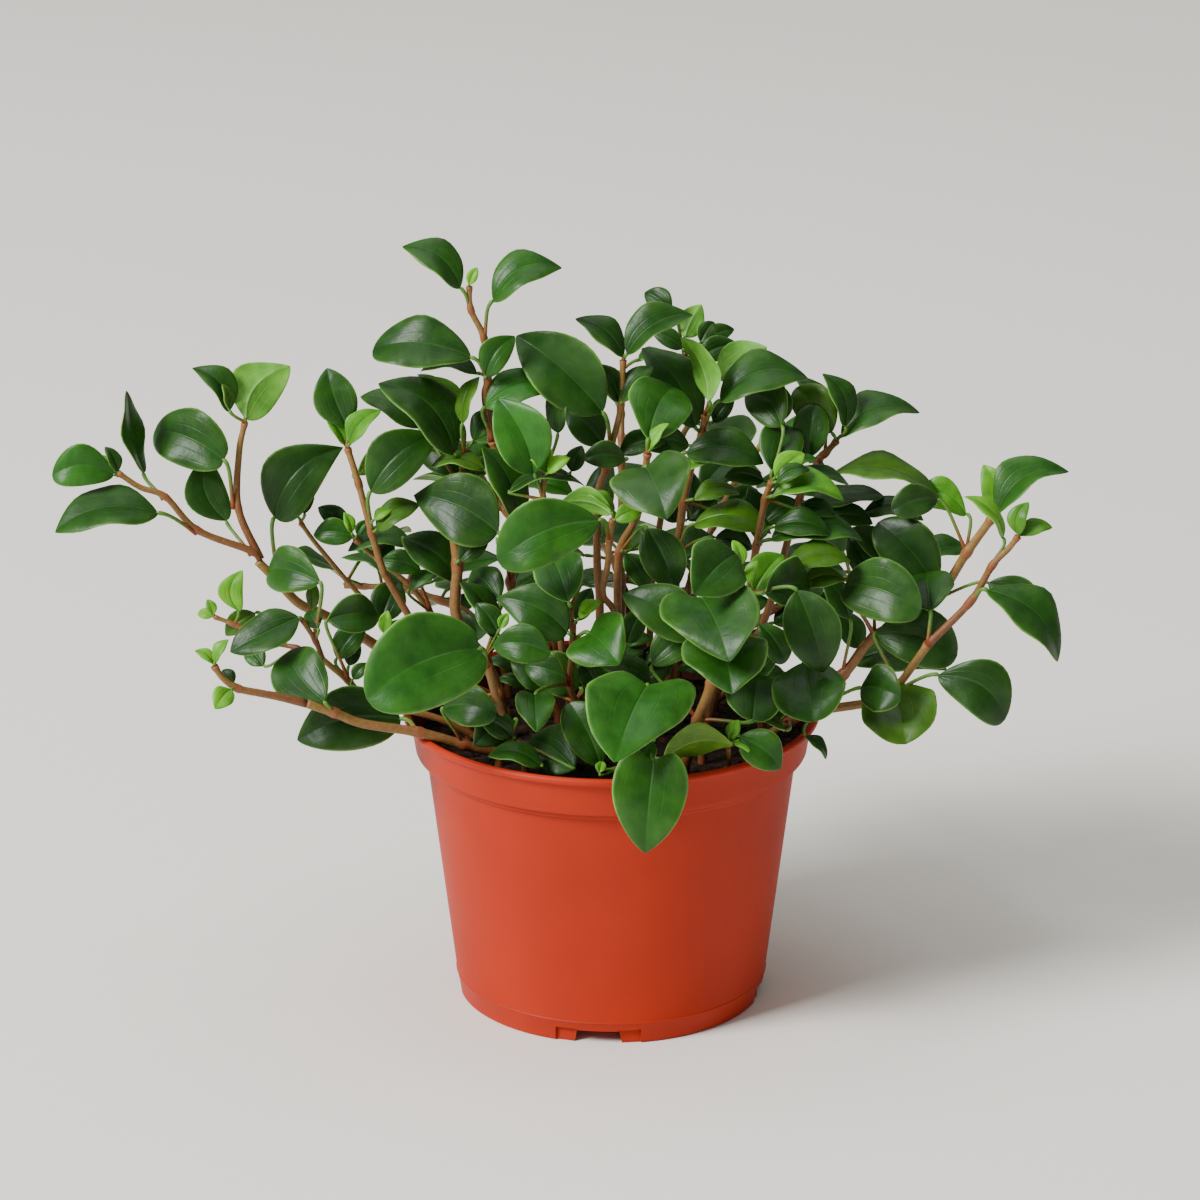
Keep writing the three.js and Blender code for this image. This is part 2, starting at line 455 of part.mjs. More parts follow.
// A rod with flat ends through the given points, tapering evenly from its first radius to its last
function rod(points, firstRadius, lastRadius, sides) {
  const last = points.length - 1;
  const rings = points.map((point, i) => {
    const along = points[Math.min(i + 1, last)].clone().sub(points[Math.max(i - 1, 0)]).normalize();
    const right = FRONT.clone().addScaledVector(along, -FRONT.dot(along)).normalize();
    const over = right.clone().cross(along);
    const radius = firstRadius + ((lastRadius - firstRadius) * i) / last;
    return Array.from({ length: sides }, (_, k) => {
      const angle = (-2 * Math.PI * k) / sides;
      return point.clone()
        .addScaledVector(right, radius * Math.cos(angle))
        .addScaledVector(over, radius * Math.sin(angle));
    });
  });
  return solidOf(new THREE.BufferGeometry().setFromPoints([
    ...wallBetween(rings),
    ...capOf(rings[0]),
    ...capOf(rings[last].toReversed()),
  ]));
}

function wallBetween(rings) {
  const triangles = [];
  for (let i = 0; i < rings.length - 1; i += 1) {
    const [near, far] = [rings[i], rings[i + 1]];
    near.forEach((point, k) => {
      const next = (k + 1) % near.length;
      triangles.push(point, near[next], far[next], point, far[next], far[k]);
    });
  }
  return triangles;
}

function capOf(ring) {
  return ring.slice(1, -1).flatMap((point, k) => [ring[0], ring[k + 2], point]);
}

// ---------- the solid of a leaf ----------
// Where the blade is measured across, as shares of its length: along the midrib, at the margins, half width
const OVAL = [[0.16, 0.1, 0.68], [0.42, 0.4, 1], [0.75, 0.74, 0.74]];
const HEART = [[0.1, -0.08, 0.72], [0.36, 0.3, 1], [0.72, 0.7, 0.66]];
const SMALL = [[0.3, 0.26, 0.95], [0.66, 0.64, 0.76]];
const BUD = [[0.45, 0.42, 1]];
const SMALL_LENGTH = 27;
const BUD_LENGTH = 11;

function stationsOf(leaf, length) {
  if (leaf.heart) return HEART;
  if (length > SMALL_LENGTH) return OVAL;
  return length > BUD_LENGTH ? SMALL : BUD;
}

// Four points round a petiole's middle: above, right, below and left
function ringAt(point, along, side, radius) {
  const right = side.clone().addScaledVector(along, -side.dot(along)).normalize();
  const over = right.clone().cross(along);
  return [over, right, over.clone().negate(), right.clone().negate()]
    .map((way) => point.clone().addScaledVector(way, radius));
}

// A blade of even thickness. Its petiole, when rings are given for it, runs into the foot of the blade.
function bladeSolid(leaf, thickness, rings = null) {
  const { base, tip, normal, width, fold, arch, bow } = leaf;
  const axis = tip.clone().sub(base);
  const length = axis.length();
  const side = axis.clone().normalize().cross(normal);
  const at = (share, across) => {
    const rise = 4 * share * (1 - share);
    return base.clone()
      .addScaledVector(axis, share)
      .addScaledVector(normal, rise * arch * length + Math.abs(across) * Math.tan(fold))
      .addScaledVector(bow, rise)
      .addScaledVector(side, across);
  };
  const stations = stationsOf(leaf, length);
  const ribs = stations.map(([share]) => at(share, 0));
  const rights = stations.map(([, share, half]) => at(share, (half * width) / 2));
  const lefts = stations.map(([, share, half]) => at(share, (-half * width) / 2));
  const last = stations.length - 1;
  const lift = normal.clone().multiplyScalar(thickness / 2);
  const top = (point) => point.clone().add(lift);
  const bottom = (point) => point.clone().sub(lift);
  const triangles = [];
  const both = (a, b, c) => triangles.push(top(a), top(b), top(c), bottom(a), bottom(c), bottom(b));
  for (let i = 0; i < last; i += 1) {
    both(ribs[i], rights[i], rights[i + 1]);
    both(ribs[i], rights[i + 1], ribs[i + 1]);
    both(lefts[i], ribs[i], ribs[i + 1]);
    both(lefts[i], ribs[i + 1], lefts[i + 1]);
  }
  both(ribs[last], rights[last], tip);
  both(lefts[last], ribs[last], tip);
  const rim = [...rights, tip, ...lefts.toReversed()];
  for (let i = 0; i < rim.length - 1; i += 1) {
    const [a, b] = [rim[i], rim[i + 1]];
    triangles.push(top(a), bottom(a), bottom(b), top(a), bottom(b), top(b));
  }
  const [over, right, under, left] = rings ? rings.at(-1) : [top(base), base, bottom(base), base];
  const [rib, firstRight, firstLeft] = [ribs[0], rights[0], lefts[0]];
  if (rings) {
    triangles.push(over, right, top(firstRight), right, under, bottom(firstRight));
    triangles.push(right, bottom(firstRight), top(firstRight), left, top(firstLeft), bottom(firstLeft));
    triangles.push(left, over, top(firstLeft), under, left, bottom(firstLeft));
  } else {
    triangles.push(over, under, bottom(firstRight), over, bottom(firstRight), top(firstRight));
    triangles.push(over, bottom(firstLeft), under, over, top(firstLeft), bottom(firstLeft));
  }
  triangles.push(over, top(firstRight), top(rib), over, top(rib), top(firstLeft));
  triangles.push(under, bottom(rib), bottom(firstRight), under, bottom(firstLeft), bottom(rib));
  if (rings) triangles.push(...wallBetween(rings), ...capOf(rings[0]));
  return solidOf(new THREE.BufferGeometry().setFromPoints(triangles));
}

function leafSolid(leaf, thickness, radius) {
  const along = leaf.tip.clone().sub(leaf.base).normalize();
  const side = along.clone().cross(leaf.normal);
  const knee = leaf.base.clone().addScaledVector(along, -KNEE);
  const into = knee.clone().sub(leaf.joint);
  const reach = into.length();
  into.normalize();
  if (reach < KNEE || into.dot(along) < SHARP) {
    const end = leaf.base.clone().addScaledVector(along, PETIOLE_REACH);
    return bladeSolid(leaf, thickness).add(rod([leaf.joint, end], radius * JOINT_TAPER, radius, 3));
  }
  const rings = [ringAt(leaf.joint, into, side, radius * JOINT_TAPER)];
  if (into.dot(along) < STRAIGHT) {
    rings.push(ringAt(knee, into.clone().add(along).normalize(), side, radius));
  }
  rings.push(ringAt(leaf.base, along, side, Math.max(thickness / 2, radius * 0.8)));
  return bladeSolid(leaf, thickness, rings);
}

// Turns a seen leaf into a real one: a blade seen short for its width leans to or from the viewer, and one
// seen slim is turned about its midrib, its upper side skywards.
function seenLeaf([label, joint, base, tip, seen, held = "", bow = BOW * (tip[0] - base[0])], slide) {
  const [baseU, baseW, baseDepth] = base;
  const seenLength = Math.hypot(tip[0] - baseU, tip[1] - baseW);
  const ratio = seen / seenLength;
  let lean = LEAST_LEAN * seenLength;
  let width = seen;
  let turn = 0;
  if (ratio > BLADE_RATIO) {
    lean += Math.min(Math.sqrt((seen / BLADE_RATIO) ** 2 - seenLength ** 2), MOST_LEAN * seenLength);
  } else if (ratio < SLIM_RATIO) {
    const most = (MOST_TURN_DEG * Math.PI) / 180;
    width = Math.min(SLIM_RATIO * seenLength, seen / Math.cos(most));
    turn = Math.acos(seen / width);
  }
  const tipDepth = baseDepth + (tip[1] > baseW ? lean : -lean);
  const from = sight([baseU, baseW, baseDepth + slide]);
  const to = sight([tip[0], tip[1], tipDepth + slide]);
  const along = to.clone().sub(from).normalize();
  const facing = EYE.clone().sub(from).normalize();
  facing.addScaledVector(along, -facing.dot(along)).normalize();
  if (held === "under") facing.negate();
  const turned = [turn, -turn].map((angle) => facing.clone().applyAxisAngle(along, angle));
  const normal = turned[0].z > turned[1].z ? turned[0] : turned[1];
  return {
    label,
    joint: sight(joint),
    base: from,
    tip: to,
    normal,
    width,
    fold: ((held === "fold" ? DEEP_FOLD_DEG : FOLD_DEG) * Math.PI) / 180,
    arch: held === "arch" ? DEEP_ARCH : ARCH,
    bow: new THREE.Vector3(baseW - tip[1], 0, tip[0] - baseU).multiplyScalar(bow / seenLength),
    heart: held === "heart",
  };
}

// ---------- shoots ----------
function rootOf([x, y]) {
  return [new THREE.Vector3(x, y, STEM_FOOT_Z), new THREE.Vector3(x, y, STEM_BEND_Z)];
}

function stemSolid([foot, startDiameter, endDiameter, line]) {
  const points = [...(foot ? rootOf(foot) : []), ...line.map(sight)];
  return rod(points, startDiameter / 2, endDiameter / 2, STEM_SIDES);
}

// A shoot of the far side rises from the soil and leans out, with leaves in a spiral round its upper part
function backShoot([name, foot, top, rise], random) {
  const [x, y] = foot;
  const end = new THREE.Vector3(...top);
  const knee = new THREE.Vector3(x + 0.12 * (end.x - x), y + 0.12 * (end.y - y), STEM_BEND_Z + rise);
  const middle = knee.clone().lerp(end, 0.5).addScaledVector(UP, 6);
  const [root, start] = rootOf(foot);
  const line = new THREE.CatmullRomCurve3([start, knee, middle, end], false, "catmullrom", 0.5).getPoints(5);
  const [startDiameter, endDiameter] = BACK_STEM_DIAMETERS;
  const stems = [rod([root, ...line], startDiameter / 2, endDiameter / 2, STEM_SIDES)];
  const leaves = [];
  for (let i = 0; i < BACK_LEAVES; i += 1) {
    const share = 0.3 + (0.7 * i) / (BACK_LEAVES - 1);
    const run = Math.min(Math.floor(share * (line.length - 1)), line.length - 2);
    const joint = line[run].clone().lerp(line[run + 1], share * (line.length - 1) - run);
    const angle = ((i * TURN_PER_LEAF_DEG + random(-18, 18)) * Math.PI) / 180;
    const outward = new THREE.Vector3(Math.cos(angle), Math.sin(angle), random(0.1, 0.5));
    outward.y += 0.35;
    outward.normalize();
    const length = random(...BACK_LEAF_LENGTH) * (1 - 0.25 * share);
    const base = joint.clone().addScaledVector(outward, random(8, 14));
    const droop = random(-0.5, 0.15);
    const along = outward.clone().addScaledVector(UP, droop).normalize();
    const normal = UP.clone().addScaledVector(along, -UP.dot(along)).normalize();
    normal.applyAxisAngle(along, random(-0.5, 0.5));
    leaves.push({
      label: `${name}_${i}`,
      joint,
      base,
      tip: base.clone().addScaledVector(along, length),
      normal,
      width: length * random(0.56, 0.7),
      fold: (random(6, 24) * Math.PI) / 180,
      arch: random(0.05, 0.14),
      bow: new THREE.Vector3(),
      heart: false,
    });
  }
  return { name, foot: [foot, startDiameter], stems, leaves };
}

// ---------- finding room ----------
// Keeps what has been placed, and finds the first slide that holds a leaf clear of it: of every other shoot
// always, and of its own shoot's blades where it can be
class Room {
  constructor() {
    this.taken = [];
  }

  take(owner, kind, solid) {
    this.taken.push({ owner, kind, solid, box: solid.boundingBox() });
  }

  // Whether a guard solid meets anything taken that the filter looks at
  meets(guard, filter) {
    const box = guard.boundingBox();
    return this.taken.some((other) => {
      if (!filter(other)) return false;
      if (box.min.some((low, i) => low > other.box.max[i] || box.max[i] < other.box.min[i])) return false;
      return !guard.intersect(other.solid).isEmpty();
    });
  }

  fits(owner, leaf, strict) {
    const thickness = BLADE_THICKNESS + 2 * CLEARANCE;
    const whole = leafSolid(leaf, thickness, PETIOLE_RADIUS + CLEARANCE);
    if (this.meets(whole, (other) => other.owner !== owner && other.kind !== "blade")) return false;
    if (!strict) return true;
    const blade = bladeSolid(leaf, thickness);
    return !this.meets(blade, (other) => other.owner === owner && other.kind === "blade");
  }

  place(owner, leafAt, slides) {
    for (const strict of [true, false]) {
      for (const slide of slides) {
        const leaf = leafAt(slide);
        if (this.fits(owner, leaf, strict)) return leaf;
      }
    }
    return null;
  }
}

// ---------- pot and soil ----------
function buildPot() {
  const slope = (WALL_TOP_RADIUS - POT_FOOT_RADIUS) / WALL_TOP_Z;
  const outer = (z) => POT_FOOT_RADIUS + slope * z;
  const seamTop = PARTING_LINE_Z + PARTING_LINE_HEIGHT;
  const shell = lathe([
    [0, 0],
    [CENTRE_DISC_RADIUS, 0],
    [CENTRE_DISC_RADIUS + 3, FLOOR_LIFT],
    [FOOT_RING_RADIUS, FLOOR_LIFT],
    [FOOT_RING_RADIUS + 2, 0],
    [POT_FOOT_RADIUS, 0],
    [outer(PARTING_LINE_Z), PARTING_LINE_Z],
    [outer(PARTING_LINE_Z) + PARTING_LINE_DEPTH, PARTING_LINE_Z + PARTING_LINE_HEIGHT / 2],
    [outer(seamTop), seamTop],
    [WALL_TOP_RADIUS, WALL_TOP_Z],
    [RING_RADIUS, RING_FOOT_Z],
    [RING_RADIUS, COLLAR_FOOT_Z - 0.9],
    [COLLAR_FOOT_RADIUS - 0.4, COLLAR_FOOT_Z - 0.3],
    [COLLAR_FOOT_RADIUS, COLLAR_FOOT_Z + 0.4],
    [COLLAR_TOP_RADIUS, COLLAR_TOP_Z],
    [LIP_RADIUS, COLLAR_TOP_Z + 1.8],
    [LIP_RADIUS, POT_HEIGHT - 1],
    [LIP_RADIUS - 0.9, POT_HEIGHT],
    [LIP_RADIUS - 2.2, POT_HEIGHT],
    [LIP_RADIUS - 3.2, POT_HEIGHT - 1.2],
    [COLLAR_TOP_RADIUS - WALL, COLLAR_TOP_Z],
    [COLLAR_FOOT_RADIUS - WALL, COLLAR_FOOT_Z + 1],
    [WALL_TOP_RADIUS - WALL, WALL_TOP_Z - 0.5],
    [outer(FLOOR_LIFT + WALL) - WALL, FLOOR_LIFT + WALL],
    [CENTRE_DISC_RADIUS + 2, FLOOR_LIFT + WALL],
    [CENTRE_DISC_RADIUS - 1.4, WALL],
    [0, WALL],
  ]);
  let pot = shell;
  for (let quarter = 0; quarter < 4; quarter += 1) {
    const angle = ((NOTCH_TURN_DEG - 90 + 90 * quarter) * Math.PI) / 180;
    for (const cut of drainNotch()) {
      pot = pot.subtract(solidOf(cut.rotateZ(angle)));
    }
  }
  return pot;
}

// A block that stands across +X, narrower at its top than at the table, from one distance off the axis to
// another
function wedge(topWidth, footWidth, height, near, far) {
  const section = new THREE.Shape([
    new THREE.Vector2(-footWidth / 2, -1),
    new THREE.Vector2(footWidth / 2, -1),
    new THREE.Vector2(topWidth / 2, height),
    new THREE.Vector2(-topWidth / 2, height),
  ]);
  const block = new THREE.ExtrudeGeometry(section, { depth: far - near, bevelEnabled: false });
  const turned = new THREE.Matrix4().makeBasis(
    new THREE.Vector3(0, 1, 0),
    new THREE.Vector3(0, 0, 1),
    new THREE.Vector3(1, 0, 0),
  );
  return block.applyMatrix4(turned).translate(near, 0, 0);
}

// A drain notch through the foot of the wall at +X, with a shallow pad pressed in on each side of it
function drainNotch() {
  const outside = POT_FOOT_RADIUS + 6;
  const notch = wedge(NOTCH_WIDTH, NOTCH_FOOT_WIDTH, NOTCH_HEIGHT, POT_FOOT_RADIUS - 12, outside);
  const apart = (NOTCH_WIDTH + PAD_WIDTH) / 2 / POT_FOOT_RADIUS;
  const pads = [-1, 1].map((hand) => {
    const pad = wedge(PAD_WIDTH, PAD_WIDTH + 0.4, PAD_HEIGHT, POT_FOOT_RADIUS - PAD_DEPTH - 0.15, outside);
    return pad.rotateZ(hand * apart);
  });
  return [notch, ...pads];
}

// The soil fills the pot, lies a little higher in the middle, and has a plain hole for every stem
function buildSoil(feet) {
  const slope = (WALL_TOP_RADIUS - POT_FOOT_RADIUS) / WALL_TOP_Z;
  const inner = (z) => POT_FOOT_RADIUS + slope * z - WALL - GAP;
  const floor = FLOOR_LIFT + WALL + GAP;
  const soil = lathe([
    [0, floor],
    [inner(floor), floor],
    [inner(WALL_TOP_Z - 1), WALL_TOP_Z - 1],
    [COLLAR_FOOT_RADIUS - WALL - 0.6, COLLAR_FOOT_Z + 2.2],
    [COLLAR_FOOT_RADIUS - WALL - 0.4, SOIL_Z - SOIL_EDGE_DROP],
    [50, SOIL_Z - 0.6],
    [24, SOIL_Z],
    [0, SOIL_Z + 0.4],
  ]);
  return feet.reduce((left, [[x, y], diameter]) => {
    const [low, high] = [STEM_FOOT_Z - GAP, SOIL_Z + 5].map((z) => new THREE.Vector3(x, y, z));
    return left.subtract(rod([low, high], diameter / 2 + 2 * GAP, diameter / 2 + 2 * GAP, 6));
  }, soil);
}

// ---------- the plant ----------
function growPlant(pot, soil) {
  const random = randomFrom(SEED);
  const room = new Room();
  room.take("pot", "wall", pot);
  room.take("soil", "ground", soil);
  const front = SHOOTS.map(([name, stems, leaves]) => ({
    name,
    foot: [stems[0][0], stems[0][1]],
    stems: stems.map(stemSolid),
    leaves,
  }));
  const back = BACK_SHOOTS.map((shoot) => backShoot(shoot, random));
  for (const shoot of [...front, ...back]) {
    for (const stem of shoot.stems) room.take(shoot.name, "stem", stem);
    shoot.solids = [...shoot.stems];
  }
  const size = ([, , base, tip, seen]) => seen * Math.hypot(tip[0] - base[0], tip[1] - base[1]);
  const queue = front.flatMap((shoot) => shoot.leaves.map((leaf) => ({ shoot, leaf })));
  queue.sort((a, b) => size(b.leaf) - size(a.leaf));
  for (const { shoot, leaf } of queue) {
    settle(room, shoot, (slide) => seenLeaf(leaf, slide), SLIDES);
  }
  for (const shoot of back) {
    for (const leaf of shoot.leaves) {
      const lifted = (slide) => ({
        ...leaf,
        base: leaf.base.clone().addScaledVector(UP, slide),
        tip: leaf.tip.clone().addScaledVector(UP, slide),
      });
      settle(room, shoot, lifted, BACK_SLIDES);
    }
  }
  return [...front, ...back];
}

// Adds a leaf to its shoot where there is room. A leaf of the far side may find none, and is then left out.
function settle(room, shoot, leafAt, slides) {
  const leaf = room.place(shoot.name, leafAt, slides);
  if (!leaf) return;
  const whole = leafSolid(leaf, BLADE_THICKNESS, PETIOLE_RADIUS);
  room.take(shoot.name, "blade", bladeSolid(leaf, BLADE_THICKNESS));
  room.take(shoot.name, "leaf", whole);
  shoot.solids.push(whole);
}

// ---------- the finished object ----------
function meshOf(name, solid, color, roughness) {
  const material = new THREE.MeshStandardMaterial({ color, roughness, metalness: 0 });
  const mesh = new THREE.Mesh(geometryOf(solid), material);
  mesh.name = name;
  return mesh;
}

const pot = buildPot();
const plant = growPlant(pot, buildSoil([]));
const soil = buildSoil(plant.map((shoot) => shoot.foot));
const object = new THREE.Group();
object.add(meshOf("pot", pot, POT_TERRACOTTA, 0.45));
object.add(meshOf("soil", soil, SOIL_BROWN, 0.95));
for (const shoot of plant) {
  const whole = shoot.solids.reduce((joined, solid) => joined.add(solid));
  object.add(meshOf(`shoot_${shoot.name}`, whole, LEAF_GREEN, 0.4));
}

export default object;
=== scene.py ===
"""A potted peperomia in a moulded nursery pot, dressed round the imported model.

The plant is laid out as a viewer in front of it sees it: a point is (u, w, depth), with u to the right
and w up in millimetres on the upright plane through the pot's axis, and depth behind that plane along
the line of sight.
"""

from __future__ import annotations

import logging
import math
from dataclasses import dataclass, field, replace
from enum import Enum
from typing import Callable, Iterable, Sequence

import bmesh
import bpy
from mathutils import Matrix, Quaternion, Vector, noise
from mathutils.bvhtree import BVHTree
from mathutils.geometry import interpolate_bezier


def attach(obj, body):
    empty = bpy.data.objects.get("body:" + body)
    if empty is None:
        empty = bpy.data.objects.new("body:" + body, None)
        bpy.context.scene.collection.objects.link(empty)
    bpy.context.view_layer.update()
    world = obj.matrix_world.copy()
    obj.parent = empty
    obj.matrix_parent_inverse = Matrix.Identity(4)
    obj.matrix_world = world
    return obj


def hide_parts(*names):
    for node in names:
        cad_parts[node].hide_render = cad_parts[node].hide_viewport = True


Colour = Sequence[float]
Draw = Callable[[float, float], float]

LOG = logging.getLogger("peperomia")
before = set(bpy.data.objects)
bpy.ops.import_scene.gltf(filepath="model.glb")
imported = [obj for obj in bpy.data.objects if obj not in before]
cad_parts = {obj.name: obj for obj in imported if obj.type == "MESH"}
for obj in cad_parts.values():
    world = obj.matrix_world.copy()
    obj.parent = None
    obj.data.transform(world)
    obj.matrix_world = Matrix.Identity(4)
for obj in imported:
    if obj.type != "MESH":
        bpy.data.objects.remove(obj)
MM = 0.001
UP = Vector((0.0, 0.0, 1.0))
EYE = Vector((-4.3, -1619.0, 703.6))
SEED = 20417


class Tone(Enum):
    """The colour group of a leaf."""

    DARK = "dark"
    MID = "mid"
    BRIGHT = "bright"
    # Painted sheen: the leaf's own green made lighter, for leaves that catch the key light.
    GLOSS = "painted_sheen"
    # Painted sheen: the leaf's own green made greyer, for leaves that face up and mirror the sky.
    GREY = "grey"
    OLIVE = "olive"
    YOUNG = "young"
    PALE = "pale"


class Held(Enum):
    """How a leaf is held or shaped, where it isn't plain."""

    PLAIN = ""
    UNDER = "under"
    FOLD = "fold"
    ARCH = "arch"
    HEART = "heart"
    LEVEL = "level"
    BLUNT = "blunt"
    ROUND = "round"
    SHARP = "sharp"
